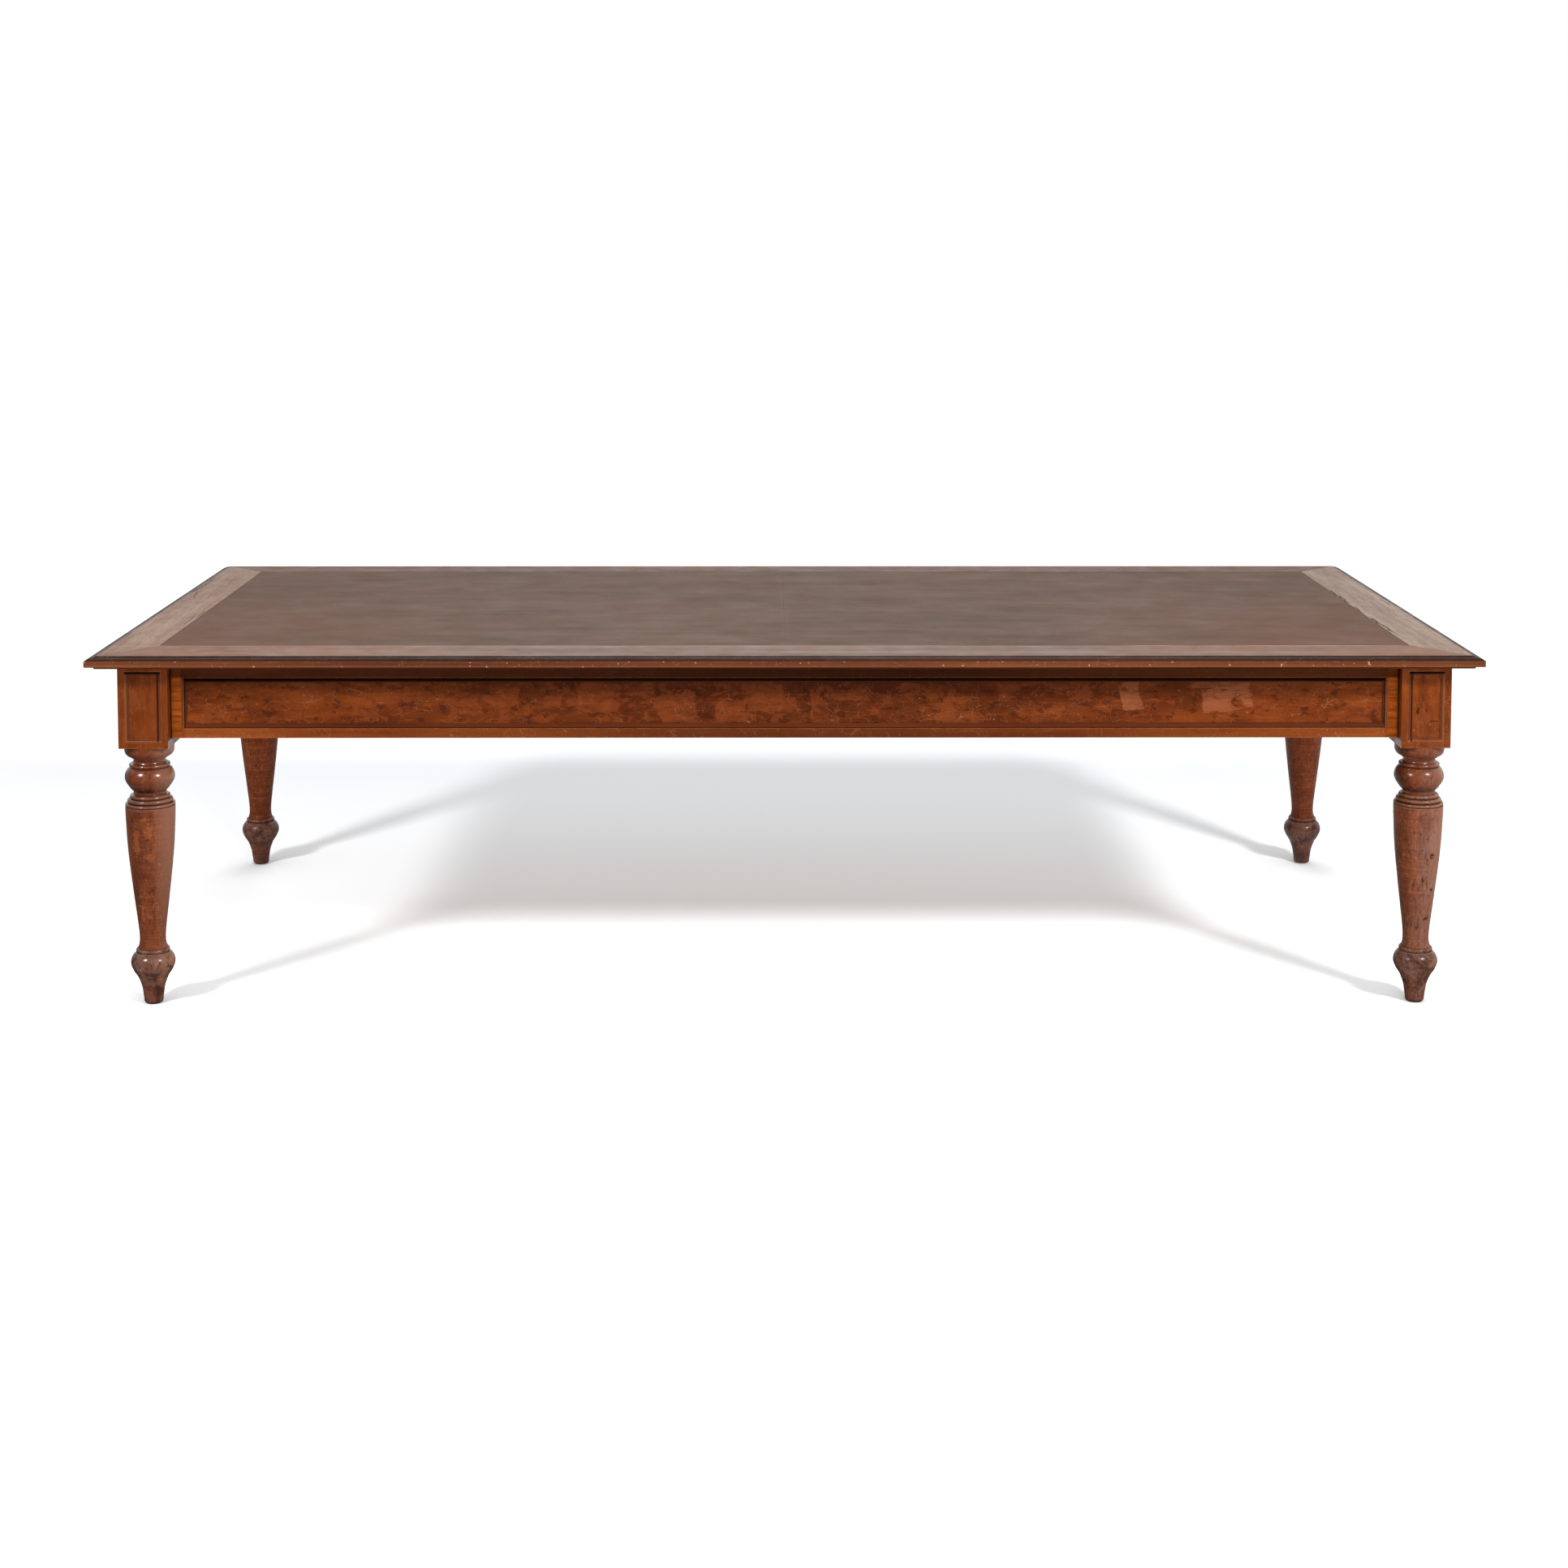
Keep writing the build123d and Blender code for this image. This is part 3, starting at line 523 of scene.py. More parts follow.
# The inner sides of the blocks: painted shade beside the rail, and painted light, a pale
# reflection, where they show below it
inner_side = between(tree, off_axis_out, crisp - block_half, -crisp - block_half)
painted_recess_shade = times(tree, inner_side,
                  between(tree, unsigned(tree, split["Y"]), recess_mouth, recess_mouth - 0.008))
beside_rail = between(tree, height, rail_foot - 0.0005, rail_foot + 0.0005)
colour = stained(tree, colour, times(tree, painted_recess_shade, on_block), times(tree, beside_rail, 0.85),
                 dye(20, 9, 5))
painted_inner_face_light = times(tree, times(tree, on_block, inner_side), in_front)
colour = stained(tree, colour, painted_inner_face_light, times(tree, rest(tree, beside_rail), 0.75),
                 dye(176, 162, 150))

# Wear, scratches and nicks, most on the right leg, then the large marks one by one
amount = reckon(tree, "ADD", times(tree, at_right, 0.5), 0.45)
marks = use(tree, hairlines, {"Place": place, "Amount": amount})
rubbed = use(tree, rub_marks, {"Along": upright, "Amount": amount})["Rub"]
wear = use(tree, rubbed_arris, {"Place": place, "Reach": 0.004})["Wear"]
wear = times(tree, wear, between(tree, on_block, 0.0, 1.0, 0.75, 0.3))
colour = blend(tree, wear, colour, dye(172, 122, 96))
colour = stained(tree, colour, rubbed, 0.4, dye(172, 116, 86))
colour = stained(tree, colour, marks["Scratch"], 0.5, dye(188, 136, 106))
colour = blend(tree, marks["Nick"], colour, dye(200, 164, 140))
cut = None
for spots, tone, strength in ((bright_spots, dye(166, 90, 46), 0.45),
                              (gouges, dye(38, 18, 11), 0.8)):
    for x, z, width, tall in spots:
        spot = use(tree, marked_place, {"Place": place, "Centre": (x, leg_front, z),
                                        "Size": (width / 2, 1, tall / 2)})["Spot"]
        spot = times(tree, spot, in_front)
        colour = stained(tree, colour, spot, strength, tone)
        if spots is gouges:
            cut = spot if cut is None else reckon(tree, "MAXIMUM", cut, spot)

# Polish lies thick on the bulbs and feet, and is nearly gone from the blocks
rough = uneven(tree, place, 24, 0.34, 0.50)
rough = reckon(tree, "ADD", rough, times(tree, dirt_and_shade, 0.25))
relief = reckon(tree, "SUBTRACT", grain["Fibre"], times(tree, marks["Scratch"], 1.5))
relief = reckon(tree, "SUBTRACT", relief, times(tree, cut, 3.0))
polish(tree, shader, colour, rough, relief, 0.0004, 0.35, 0.12)
gloss = between(tree, on_block, 0.0, 1.0, 1.0, 0.08)
on_vase = reckon(tree, "SUBTRACT", between(tree, height, vase_top + 0.002, vase_top), on_foot)
for where, left in ((on_vase, 0.35), (at_back, 0.5), (at_right, 0.55)):
    gloss = lessened(tree, gloss, where, left)
join(tree, shader.inputs["Coat Weight"], times(tree, gloss, rest(tree, dull)))
shader.inputs["Coat Roughness"].default_value = 0.22
shader.inputs["Coat IOR"].default_value = 1.65
leg_names = [f"leg_{end}_{side}" for end in ("front", "back") for side in ("left", "right")]
dress(leg_names, leg_mahogany)


# Thin mitred beads line the sunk panel on each face of the blocks. They are darker than the
# block, with dirt and painted shade in the corners, painted shade along the inner side and the
# top, and painted light on the outer and lower beads; their tops are rubbed to a pinkish line.
bead_mahogany, tree, shader, place = new_material("bead_mahogany")
grain = use(tree, timber_grain, {"Along": stretched(tree, place, turn=upright_grain)})
colour = blend(tree, grain["Figure"], dye(92, 42, 20), dye(128, 64, 32))
colour = stained(tree, colour, grain["Fibre"], 0.25, dye(50, 20, 12))
colour = aged(tree, colour, place, (0.004, 0.95, dye(20, 9, 5)),
              (0.002, 0.5, dye(172, 108, 74)))
bead_bottom, bead_top = [corner.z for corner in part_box("leg_beads_front_left")]
half_panel, bead_width, strip_width = 0.0375, 0.005, 0.008
split = axes(tree, place)
outward = reckon(tree, "SUBTRACT", unsigned(tree, split["X"]), leg_axis)
on_outer = between(tree, outward, half_panel - bead_width + 0.0005,
                   half_panel - bead_width + 0.0010)
on_low = between(tree, split["Z"], bead_bottom + bead_width - 0.0005,
                 bead_bottom + bead_width - 0.0010)
# Painted light on the outer upright bead and on the bottom bead
painted_light_side = reckon(tree, "MAXIMUM", on_outer, on_low)
colour = stained(tree, colour, painted_light_side, 0.35, dye(176, 106, 64))
# Painted shade along the inner upright bead
on_inner = between(tree, outward, strip_width - half_panel + 0.0005, strip_width - half_panel)
painted_inner_shade = between(tree, outward, bead_width - half_panel - 0.0004, bead_width - half_panel)
colour = stained(tree, colour, times(tree, on_inner, painted_inner_shade), 0.85, dye(22, 10, 6))
# A painted shadow along the top bead
painted_top_shadow = between(tree, split["Z"], bead_top - bead_width - 0.0005,
                 bead_top - bead_width + 0.0005)
colour = stained(tree, colour, painted_top_shadow, 0.9, dye(14, 6, 4))
rough = uneven(tree, place, 60, 0.26, 0.44)
polish(tree, shader, colour, rough, grain["Fibre"], 0.0002, 0.3, 0.15)
dress([name.replace("leg_", "leg_beads_") for name in leg_names], bead_mahogany)


# The frieze has one deep mahogany board on each side, with its long field sunk below a frame.
# The frame has faded to a warm orange brown. The front field is patched where paper and tape
# have lifted the polish, and is scratched all over, most at its right end.
middle_darkening_reach = (0.25, 1.15)
stile_start = 1.274
band_low, band_high = 0.701, 0.705
shade_low, shade_high = 0.668, 0.694
paler_from, scratched_from, scratched_to = 0.7, 0.8, 1.2


def frieze_material(name, along, axis, depth_axis, field_depth, patches=(), wear_amount=0.6):
    """Polished mahogany for one rail, with its sunk field told from its frame by depth."""
    material, tree, shader, place = new_material(name)
    grain_place = stretched(tree, place, turn=along)
    grain = use(tree, timber_grain, {"Along": grain_place})
    split = axes(tree, place)
    from_middle = unsigned(tree, split[axis])
    depth = unsigned(tree, split[depth_axis])
    in_field = between(tree, depth, field_depth + 0.0005, field_depth - 0.0005)

    frame_wood = blend(tree, grain["Figure"], dye(122, 55, 18), dye(172, 91, 38))
    # Painted light makes the stiles at the ends of the frame brighter and more orange
    painted_stile_light = between(tree, from_middle, stile_start, stile_start + 0.004)
    curl = noise(tree, stretched(tree, place, (14, 14, 150)), 1.0, 3, 0.6)
    curl = between(tree, curl, 0.35, 0.65)
    painted_lit_stile = blend(tree, curl, dye(160, 70, 12), dye(204, 104, 32))
    frame_wood = blend(tree, painted_stile_light, frame_wood, painted_lit_stile)

    field_wood = blend(tree, grain["Figure"], dye(113, 49, 12), dye(166, 79, 25))
    clouds = between(tree, noise(tree, stretched(tree, place, (3, 3, 9)), 2.2, 4, 0.6), 0.35, 0.68)
    field_wood = stained(tree, field_wood, clouds, 0.66, dye(72, 26, 8))
    # The field and the frame darken towards the middle of each rail
    darker_to_middle = between(tree, from_middle, *middle_darkening_reach, 0.68, 0.0)
    field_wood = blend(tree, darker_to_middle, field_wood, dye(66, 26, 8))
    frame_wood = blend(tree, darker_to_middle, frame_wood, dye(72, 30, 12))
    worn_off = noise(tree, stretched(tree, place, (16, 16, 30)), 1.0, 6, 0.72, 0.5)
    field_wood = blend(tree, between(tree, worn_off, 0.52, 0.55, 0.0, 0.42), field_wood,
                       dye(146, 70, 30))
    left_on = noise(tree, stretched(tree, place, (34, 34, 52)), 1.0, 5, 0.7, 0.3)
    field_wood = blend(tree, between(tree, left_on, 0.56, 0.59, 0.0, 0.6), field_wood,
                       dye(64, 24, 10))
    for x, z, width, tall, turn, strength in patches:
        mark = use(tree, marked_place, {
            "Place": place, "Centre": (x, 0, z), "Turn": (0, math.radians(turn), 0),
            "Size": (width / 2, 1, tall / 2)})["Patch"]
        eaten = between(tree, worn_off, 0.40, 0.46)
        tone = dye(158, 89, 56) if x > paler_from else dye(136, 66, 28)
        field_wood = stained(tree, field_wood, times(tree, mark, eaten), strength, tone)
    rubbed = use(tree, rub_marks, {"Along": grain_place, "Amount": wear_amount})["Rub"]
    field_wood = stained(tree, field_wood, rubbed, 0.4, dye(168, 102, 70))

    # Frame and field together, with dirt and painted shade in the corners, a dark band under the
    # top and painted shade over the top of the field
    colour = blend(tree, in_field, frame_wood, field_wood)
    colour = stained(tree, colour, grain["Fibre"], 0.3, dye(62, 25, 10))
    colour = stained(tree, colour, grain["Pores"], 0.4, dye(48, 18, 8))
    colour = aged(tree, colour, place, (0.008, 0.7, dye(30, 12, 6)),
                  (0.004, 0.5, dye(186, 112, 58)))
    amount = between(tree, split[axis], scratched_from, scratched_to,
                     wear_amount, wear_amount * 1.5)
    marks = use(tree, hairlines, {"Place": place, "Amount": amount})
    colour = stained(tree, colour, marks["Scratch"], 0.5, dye(190, 126, 90))
    colour = blend(tree, marks["Nick"], colour, dye(210, 170, 140))
    # The dark band under the top is partly less bleached wood and partly painted shade; painted
    # shade also lies over the top of the field
    unfaded_and_shade = between(tree, split["Z"], band_low, band_high, 0.0, 0.72)
    painted_field_shade = between(tree, split["Z"], shade_low, shade_high, 0.0, 0.28)
    unfaded_and_shade = reckon(tree, "MAXIMUM", unfaded_and_shade, times(tree, painted_field_shade, in_field))
    colour = blend(tree, unfaded_and_shade, colour, dye(42, 15, 4))
    rough = uneven(tree, place, 18, 0.36, 0.52)
    relief = reckon(tree, "SUBTRACT", grain["Fibre"], times(tree, marks["Scratch"], 1.5))
    polish(tree, shader, colour, rough, relief, 0.0003, 0.3, 0.09)
    return material


# middle of each patch along the rail and above the floor, its width and height, its turn in
# degrees, and how far the polish has gone
front_patches = [
    (-0.998, 0.668, 0.048, 0.044, -5, 0.55), (-1.040, 0.619, 0.034, 0.025, 3, 0.5),
    (-0.962, 0.684, 0.017, 0.017, 0, 0.33), (-0.911, 0.652, 0.014, 0.059, -2, 0.44),
    (-0.854, 0.659, 0.056, 0.046, 2, 0.33), (-0.583, 0.650, 0.046, 0.073, -4, 0.54),
    (-0.494, 0.649, 0.039, 0.025, 0, 0.49), (-0.401, 0.657, 0.078, 0.070, 10, 0.54),
    (-0.305, 0.680, 0.068, 0.025, 0, 0.43), (-0.233, 0.638, 0.081, 0.061, -12, 0.49),
    (-0.115, 0.635, 0.061, 0.051, 3, 0.49), (-0.043, 0.657, 0.078, 0.068, 4, 0.43),
    (0.072, 0.650, 0.041, 0.080, -3, 0.49), (0.186, 0.660, 0.187, 0.022, 5, 0.43),
    (0.263, 0.676, 0.046, 0.031, 0, 0.43), (0.322, 0.627, 0.075, 0.037, -5, 0.56),
    (0.349, 0.660, 0.015, 0.058, 12, 0.56), (0.384, 0.624, 0.031, 0.014, -10, 0.56),
    (0.471, 0.671, 0.051, 0.041, 3, 0.38), (0.732, 0.662, 0.046, 0.066, -4, 0.72),
    (0.932, 0.657, 0.095, 0.058, -8, 0.77), (0.908, 0.688, 0.127, 0.015, 0, 0.5),
]
along_x, along_y = (0, 0, 0), (0, 0, math.pi / 2)
sunk = 0.0025
front_face = -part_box("rail_front")[0].y
end_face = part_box("rail_right")[1].x
dress(["rail_front"], frieze_material(
    "front_rail_mahogany", along_x, "X", "Y", front_face - sunk, front_patches, 0.8))
dress(["rail_back"], frieze_material(
    "back_rail_mahogany", along_x, "X", "Y", front_face - sunk))
dress(["rail_left", "rail_right"], frieze_material(
    "end_rail_mahogany", along_y, "Y", "X", end_face - sunk))


# Lengths of moulding are mitred round each sunk field and glued to its edge. They have dirt and
# painted shade in the corners, painted shade in the quirks, a painted shadow along the top and
# under the bottom bead, and painted light on the upright beads at the ends; the tops of the beads
# are rubbed to a dull pink.
moulding_mahogany, tree, shader, place = new_material("moulding_mahogany")
grain = use(tree, timber_grain, {"Along": place})
colour = blend(tree, grain["Figure"], dye(80, 34, 14), dye(114, 53, 24))
colour = stained(tree, colour, grain["Fibre"], 0.25, dye(50, 20, 12))
colour = aged(tree, colour, place, (0.004, 0.95, dye(18, 8, 5)),
              (0.002, 0.5, dye(172, 108, 74)))
split = axes(tree, place)
field_foot, field_top, field_end, bead, quirk = 0.5955, 0.6970, 1.2740, 0.0044, 0.0020
# A painted shadow along the top
painted_top_shadow = between(tree, split["Z"], field_top - 0.004, field_top)
colour = stained(tree, colour, painted_top_shadow, 0.95, dye(10, 4, 2))
# A painted shadow under the bottom bead
painted_shadow_under_bead = between(tree, split["Z"], field_foot + 0.0019, field_foot + 0.0015)
colour = stained(tree, colour, painted_shadow_under_bead, 0.85, dye(16, 7, 4))
from_end = reckon(tree, "SUBTRACT", field_end, unsigned(tree, split["X"]))
# Painted light on the upright beads at the ends, and painted shade in their quirks
painted_bead_light = between(tree, from_end, bead, bead - 0.0005)
painted_quirk_shade = times(tree, between(tree, from_end, bead - 0.0002, bead + 0.0002),
                 between(tree, from_end, bead + quirk + 0.0005, bead + quirk))
colour = stained(tree, colour, painted_bead_light, 0.35, dye(170, 104, 66))
colour = stained(tree, colour, painted_quirk_shade, 0.8, dye(20, 9, 5))
rough = uneven(tree, place, 60, 0.28, 0.46)
polish(tree, shader, colour, rough, grain["Fibre"], 0.0002, 0.3, 0.12)
dress([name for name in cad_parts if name.startswith("frieze_moulding")], moulding_mahogany)


# Bearers, corner braces, glue blocks and the ground boards of the top are plain timber, sawn
# and roughly planed, never polished, dusty underneath, and darkened in the corners by dirt and
# painted shade. The loose tongues are the same.
def raw_timber(name, along, dark, light):
    """Unfinished timber with saw marks and dust, its grain along one direction."""
    material, tree, shader, place = new_material(name)
    grain = use(tree, timber_grain, {"Along": stretched(tree, place, turn=along),
                                     "Coarseness": 0.8})
    colour = blend(tree, grain["Figure"], dark, light)
    colour = stained(tree, colour, grain["Fibre"], 0.35, dye(70, 46, 28))
    sawn = lay(tree, "TexWave", {"Vector": stretched(tree, place, turn=along), "Scale": 70,
                                 "Distortion": 3.0, "Detail": 2.0}).outputs[1]
    stain = between(tree, noise(tree, place, 5, 4, 0.6), 0.45, 0.75)
    colour = stained(tree, colour, stain, 0.4, dye(88, 62, 42))
    colour = aged(tree, colour, place, (0.03, 0.6, dye(54, 42, 32)),
                  (0.003, 0.4, dye(186, 156, 118)))
    rough = uneven(tree, place, 30, 0.72, 0.9)
    relief = reckon(tree, "ADD", grain["Fibre"], times(tree, sawn, 0.6))
    polish(tree, shader, colour, rough, relief, 0.0006, 0.5, 0.25)
    return material


board_timber = raw_timber("ground_board_timber", along_x, dye(140, 104, 68), dye(172, 134, 92))
bearer_timber = raw_timber("bearer_timber", along_y, dye(122, 84, 52), dye(156, 114, 74))
long_boards = [f"ground_board_{number}" for number in range(1, 6)]
dress(long_boards + ["glue_blocks_front", "glue_blocks_back", "board_tongues"], board_timber)
dress(["bearer_left", "bearer_middle", "bearer_right", "glue_blocks_left", "glue_blocks_right",
       "border_tongues"] + [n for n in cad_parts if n.startswith("corner_brace")],
      bearer_timber)


# Lining strips thicken the edge of the top from below. They are mahogany, stained dark, and
# stand back from the edge in its shadow.
def lining_material(name, along):
    """Dark stained mahogany, with its grain along one direction."""
    material, tree, shader, place = new_material(name)
    grain = use(tree, timber_grain, {"Along": stretched(tree, place, turn=along)})
    colour = blend(tree, grain["Figure"], dye(72, 32, 16), dye(104, 52, 28))
    colour = stained(tree, colour, grain["Fibre"], 0.3, dye(52, 24, 14))
    # Dirt and painted shade in the corners, and rubbed arrises
    colour = aged(tree, colour, place, (0.02, 0.6, dye(32, 15, 9)),
                  (0.003, 0.35, dye(150, 90, 60)))
    rough = uneven(tree, place, 40, 0.4, 0.6)
    polish(tree, shader, colour, rough, grain["Fibre"], 0.0003, 0.35, 0.2)
    return material


dress(["lining_front", "lining_back"], lining_material("long_lining_mahogany", along_x))
dress(["lining_left", "lining_right"], lining_material("end_lining_mahogany", along_y))


# Four mahogany boards, jointed from the corners of the leather to the corners of the top, frame
# the writing surface, with the edge moulding worked on them. Daylight has bleached them to a
# dusty pinkish grey, except for the brown thumb moulding and the redder edge below the nosing.
open_split, given, result = recipe(
    "open_split",
    [("Place", "Vector", None), ("Centre", "Vector", None), ("Turn", "Vector", None),
     ("Size", "Vector", (1, 1, 1))], ["Split"])
g = open_split
inside = lay(g, "Mapping", {"Vector": given["Place"], "Location": given["Centre"],
                            "Rotation": given["Turn"], "Scale": given["Size"]},
             vector_type="TEXTURE").outputs[0]
across = axes(g, inside)
sway = between(g, noise(g, given["Place"], 22, 3, 0.6), 0.25, 0.75, -1.6, 1.6)
off = unsigned(g, reckon(g, "ADD", across["Y"], sway))
ends = between(g, unsigned(g, across["X"]), 0.6, 1.0, 1.0, 0.0)
join(g, result["Split"], between(g, reckon(g, "SUBTRACT", ends, off), 0.0, 0.3))

half_top = (packed_high.x, packed_high.y)
arris_inset, thumb_end, nosing_height = 0.020, 0.0055, 0.7530
top_height = packed_high.z
leather_half_length, leather_front = 1.333, -0.541
joint_line, nosing_foot = leather_front - 0.0045, 0.7475


def border_material(name, along, dark, light, warm=0.0, splits=()):
    """Bleached mahogany on top, brown on the worked moulding, red at the edge."""
    material, tree, shader, place = new_material(name)
    grain_place = stretched(tree, place, turn=along)
    grain = use(tree, timber_grain, {"Along": grain_place})
    split = axes(tree, place)
    inset = [reckon(tree, "SUBTRACT", half, unsigned(tree, split[axis]))
             for half, axis in zip(half_top, "XY")]
    inset = reckon(tree, "MINIMUM", *inset)

    # The bleached top, warmer towards the corners of the front, with drawn-out darker streaks
    bleached = blend(tree, grain["Figure"], dark, light)
    clouds = between(tree, noise(tree, stretched(tree, grain_place, (1.6, 20, 20)), 1.0, 4, 0.65),
                     0.40, 0.66)
    bleached = stained(tree, bleached, clouds, 0.5, dye(112, 84, 70))
    corner = between(tree, unsigned(tree, split["X"]), 0.55, 1.20, 0.0, warm)
    patchy = between(tree, noise(tree, stretched(tree, grain_place, (3, 12, 12)), 1.0, 4, 0.6),
                     0.35, 0.60, 0.25, 1.0)
    bleached = stained(tree, bleached, corner, patchy, dye(176, 116, 80))
    bleached = stained(tree, bleached, grain["Fibre"], 0.5, dye(106, 76, 62))
    bleached = stained(tree, bleached, grain["Pores"], 0.65, dye(74, 47, 37))
    joint = unsigned(tree, reckon(tree, "SUBTRACT", split["Y"], joint_line))
    joint = times(tree, between(tree, joint, 0.0035, 0.0055, 1.0, 0.0), patchy)
    bleached = stained(tree, bleached, joint, 0.6, dye(204, 152, 116))

    # The worked edge: a dark quirk, a brown thumb and a redder edge, with painted shade in the
    # quirk and over the nosing, painted light low on the edge and a painted highlight along the
    # nosing
    brown = blend(tree, grain["Figure"], dye(49, 22, 10), dye(82, 40, 20))
    red = blend(tree, grain["Figure"], dye(89, 44, 21), dye(126, 69, 39))
    ragged = uneven(tree, place, 70, -0.0012, 0.0012)
    ragged_inset = reckon(tree, "ADD", inset, ragged)
    on_thumb = between(tree, ragged_inset, arris_inset + 0.0010, arris_inset - 0.0002)
    low_enough = between(tree, split["Z"], nosing_height + 0.0012, nosing_height)
    on_edge = times(tree, low_enough, between(tree, ragged_inset, thumb_end, thumb_end - 0.003))
    colour = blend(tree, on_thumb, bleached, brown)
    colour = blend(tree, on_edge, colour, red)
    # Painted shade darkens the quirk
    quirk = unsigned(tree, reckon(tree, "SUBTRACT", inset, arris_inset - 0.0020))
    quirk = between(tree, quirk, 0.0024, 0.0048, 0.97, 0.0)
    colour = blend(tree, quirk, colour, dye(22, 10, 6))
    by_quirk = times(tree, between(tree, inset, arris_inset + 0.0045, arris_inset + 0.0015),
                     between(tree, inset, arris_inset - 0.0025, arris_inset))
    chipped = between(tree, noise(tree, place, 85, 3, 0.6), 0.60, 0.66)
    colour = stained(tree, colour, chipped, by_quirk, dye(58, 30, 20))
    # Painted light on the lower part of the edge
    under = between(tree, split["Z"], nosing_foot, nosing_foot - 0.004)
    colour = stained(tree, colour, under, 0.35, dye(152, 84, 48))
    # Painted shade on the upper part of the edge, over the nosing
    painted_nosing_shade = between(tree, split["Z"], nosing_foot + 0.0005, nosing_foot + 0.0045, 0.0, 0.28)
    colour = stained(tree, colour, painted_nosing_shade, on_edge, dye(60, 26, 12))
    # A painted highlight along the nosing, broken up in places
    painted_nosing_highlight = times(tree, on_edge, between(tree, split["Z"], nosing_height - 0.0030,
                                               nosing_height - 0.0010))
    highlight_breaks = between(tree, noise(tree, place, 26, 4, 0.7), 0.3, 0.6, 0.25, 1.0)
    colour = stained(tree, colour, times(tree, painted_nosing_highlight, highlight_breaks), 0.12, dye(180, 124, 94))

    # Chips, scratches, dirt and painted shade in the corners, and the splits that have opened
    # along the grain
    marks = use(tree, hairlines, {"Place": place, "Amount": 0.6})
    chips = times(tree, between(tree, noise(tree, place, 120, 2, 0.5), 0.68, 0.71), on_edge)
    colour = stained(tree, colour, chips, 0.65, dye(206, 160, 126))
    colour = stained(tree, colour, marks["Scratch"], 0.35, dye(190, 156, 134))
    dirt_and_shade = use(tree, corner_dirt_and_shade, {"Place": place, "Reach": 0.006})["Dirt"]
    colour = stained(tree, colour, dirt_and_shade, 0.9, dye(32, 16, 10))
    relief = reckon(tree, "SUBTRACT", grain["Fibre"], times(tree, grain["Pores"], 0.7))
    for x, y, turn, half_length, half_width in splits:
        opened = use(tree, open_split, {
            "Place": place, "Centre": (x, y, top_height), "Turn": (0, 0, math.radians(turn)),
            "Size": (half_length, half_width, 1)})["Split"]
        colour = stained(tree, colour, opened, 0.95, dye(34, 17, 12))
        relief = reckon(tree, "SUBTRACT", relief, times(tree, opened, 3.0))
    rough = uneven(tree, place, 20, 0.42, 0.6)
    rough = reckon(tree, "SUBTRACT", rough, times(tree, on_thumb, 0.08))
    polish(tree, shader, colour, rough, relief, 0.0004, 0.4, 0.12)
    return material


# middle of each split along and across the top, its turn in degrees, and half its length and
# half its width
front_splits = [
    (0.45, leather_front - 0.003, 0, 0.13, 0.0020),
    (0.66, leather_front - 0.002, 0, 0.09, 0.0016),
    (0.90, leather_front - 0.003, 0, 0.10, 0.0016),
    (1.352, leather_front - 0.004, -3, 0.040, 0.0016),
    (-0.30, leather_front - 0.004, 0, 0.12, 0.0010),
    (-1.201, -0.606, 2, 0.050, 0.0020),
    (-1.155, -0.611, -1, 0.030, 0.0016),
]
left_splits = [
    (-1.429, 0.320, 88, 0.130, 0.0022),
    (-1.416, 0.180, 97, 0.060, 0.0018),
    (-1.345, -0.200, 92, 0.080, 0.0014),
    (-1.338, -0.110, 90, 0.050, 0.0016),
]
right_splits = [
    (leather_half_length + 0.004, 0.145, 90, 0.120, 0.0032),
    (leather_half_length + 0.005, -0.274, 91, 0.120, 0.0030),
    (leather_half_length + 0.002, -0.060, 90, 0.060, 0.0020),
    (1.424, 0.056, 92, 0.060, 0.0016),
]
dress(["border_front"], border_material(
    "front_border_mahogany", along_x, dye(141, 109, 92), dye(172, 141, 123), 0.85, front_splits))
dress(["border_back"], border_material(
    "back_border_mahogany", along_x, dye(116, 84, 66), dye(144, 110, 90)))
dress(["border_left"], border_material(
    "left_border_mahogany", along_y, dye(176, 141, 118), dye(210, 174, 150), 0.0, left_splits))
dress(["border_right"], border_material(
    "right_border_mahogany", along_y, dye(188, 159, 140), dye(223, 197, 177), 0.0, right_splits))


# Two skins of leather are glued to the ground boards, and meet at a seam across the middle.
# They are cut to fit inside the border and pared thin at their edges, and lie a hair below the
# wood. Years of wear have left them taupe and satin, and redder towards the front corners.
cut_gap, seam_gap = 0.0005, 0.00004
skin_thickness, pared_edge, sunk_below = 0.0012, 0.00025, 0.0002
swell = 0.00012
skin_cells = (110, 90)


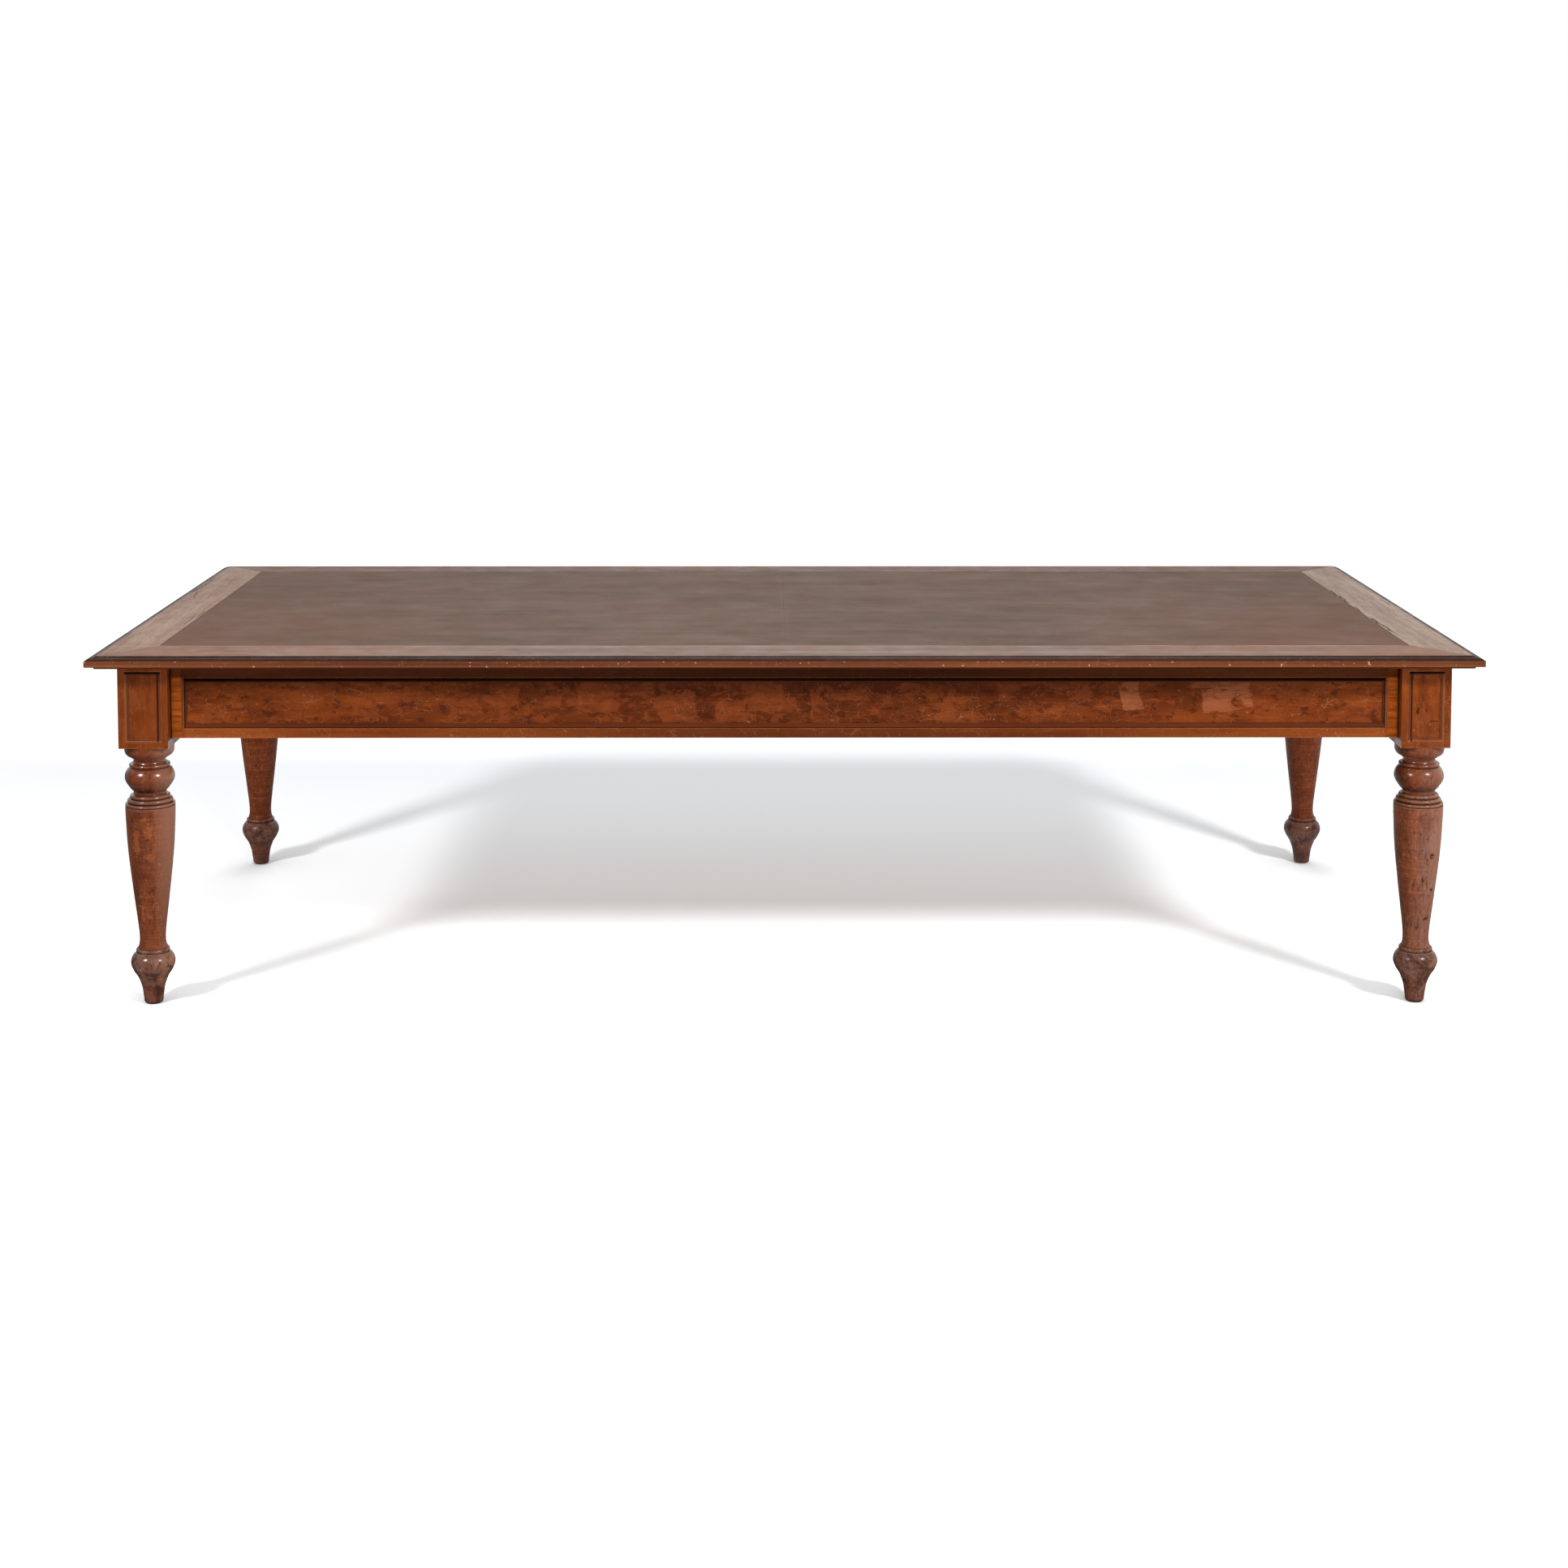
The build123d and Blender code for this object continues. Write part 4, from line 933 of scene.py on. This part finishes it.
def lay_skin(side):
    """One skin, cut to size, laid and slightly rippled, with pared edges."""
    low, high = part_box("leather_" + side)
    toward_seam = 1 if side == "left" else -1
    width, length = high.x - low.x - cut_gap - seam_gap, high.y - low.y - 2 * cut_gap
    middle = ((low.x + high.x) / 2 + toward_seam * (cut_gap - seam_gap) / 2,
              (low.y + high.y) / 2, high.z - sunk_below - swell)
    bpy.ops.mesh.primitive_grid_add(x_subdivisions=skin_cells[0], y_subdivisions=skin_cells[1],
                                    size=1, location=middle)
    skin = bpy.context.object
    skin.name = "leather_skin_" + side
    bpy.ops.object.mode_set(mode="EDIT")
    bpy.ops.mesh.select_all(action="SELECT")
    bpy.ops.transform.resize(value=(width, length, 1), center_override=middle)
    bpy.ops.object.mode_set(mode="OBJECT")
    bpy.ops.object.transform_apply(location=True, rotation=True, scale=True)
    ripple = bpy.data.textures.new("skin_ripple", "CLOUDS")
    ripple.noise_scale = 0.22
    shape = skin.modifiers.new("ripple", "DISPLACE")
    shape.texture, shape.strength, shape.mid_level = ripple, 2 * swell, 0.5
    thick = skin.modifiers.new("thickness", "SOLIDIFY")
    thick.thickness, thick.offset = skin_thickness, -1
    pared = skin.modifiers.new("pared_edge", "BEVEL")
    pared.width, pared.segments, pared.limit_method = pared_edge, 2, "ANGLE"
    for name in ("ripple", "thickness", "pared_edge"):
        bpy.ops.object.modifier_apply(modifier=name)
    bpy.ops.object.shade_smooth_by_angle(angle=math.radians(40))
    return skin


worn_leather, tree, shader, place = new_material("worn_leather")
split = axes(tree, place)
broad = between(tree, noise(tree, place, 2.4, 4, 0.6), 0.35, 0.68)
colour = blend(tree, broad, dye(104, 73, 49), dye(118, 84, 60))
bands = noise(tree, stretched(tree, place, (1.7, 13, 1)), 1.0, 5, 0.62)
colour = blend(tree, between(tree, bands, 0.50, 0.66, 0.0, 0.6), colour, dye(82, 58, 40))
colour = blend(tree, between(tree, bands, 0.46, 0.32, 0.0, 0.45), colour, dye(126, 96, 74))
fine_bands = noise(tree, stretched(tree, place, (9, 90, 1)), 1.0, 4, 0.65)
colour = blend(tree, between(tree, fine_bands, 0.48, 0.62, 0.0, 0.25), colour, dye(80, 57, 42))
ends = between(tree, unsigned(tree, split["X"]), 0.55, 1.10)
front = between(tree, split["Y"], 0.25, -0.50, 0.25, 1.0)
cloudy = between(tree, noise(tree, place, 5, 3, 0.6), 0.3, 0.6, 0.3, 1.0)
red = times(tree, times(tree, ends, front), cloudy)
colour = stained(tree, colour, red, 0.75, dye(128, 79, 58))
pebbles = lay(tree, "TexVoronoi", {"Vector": place, "Scale": 620.0}).outputs["Distance"]
colour = blend(tree, between(tree, pebbles, 0.35, 0.75, 0.0, 0.3), colour, dye(78, 55, 43))
marks = use(tree, hairlines, {"Place": place, "Amount": 0.5})
colour = stained(tree, colour, marks["Scratch"], 0.35, dye(160, 132, 112))
wisps = noise(tree, stretched(tree, place, (3, 24, 1), (0, 0, 0.35)), 1.0, 4, 0.7, 0.6)
colour = blend(tree, between(tree, wisps, 0.64, 0.76, 0.0, 0.3), colour, dye(152, 124, 104))
seam_haze = between(tree, unsigned(tree, split["X"]), 0.0, 0.016, 1.0, 0.0)
patchy = between(tree, noise(tree, stretched(tree, place, (4, 9, 1)), 1.0, 3, 0.6), 0.35, 0.6)
colour = stained(tree, colour, times(tree, seam_haze, patchy), 0.15, dye(150, 124, 106))
rough = between(tree, noise(tree, place, 11, 4, 0.6), 0.3, 0.7, 0.50, 0.60)
relief = reckon(tree, "ADD", between(tree, pebbles, 0.0, 0.7, 1.0, 0.0),
                times(tree, noise(tree, place, 60, 3, 0.6), 1.2))
polish(tree, shader, colour, rough, relief, 0.0003, 0.35, 0.1)

for side in ("left", "right"):
    skin = lay_skin(side)
    skin.data.materials.append(worn_leather)
    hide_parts("leather_" + side)
    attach(skin, "root")


# Steel screws hold the bearers and the corner braces up to the top. They are dull, rust has
# started round their heads, and dirt and painted shade darken the corners.
dull_steel, tree, shader, place = new_material("dull_steel")
patches = between(tree, noise(tree, place, 160, 4, 0.6), 0.42, 0.66)
colour = blend(tree, patches, dye(150, 146, 140), dye(104, 72, 52))
dirt_and_shade = use(tree, corner_dirt_and_shade, {"Place": place, "Reach": 0.004})["Dirt"]
colour = stained(tree, colour, dirt_and_shade, 0.7, dye(50, 40, 34))
rough = between(tree, patches, 0.0, 1.0, 0.35, 0.7)
polish(tree, shader, colour, rough, noise(tree, place, 500, 2, 0.5), 0.0002, 0.3, 0.5)
join(tree, shader.inputs["Metallic"], between(tree, patches, 0.0, 1.0, 1.0, 0.25))
dress(["bearer_screws", "brace_screws"], dull_steel)
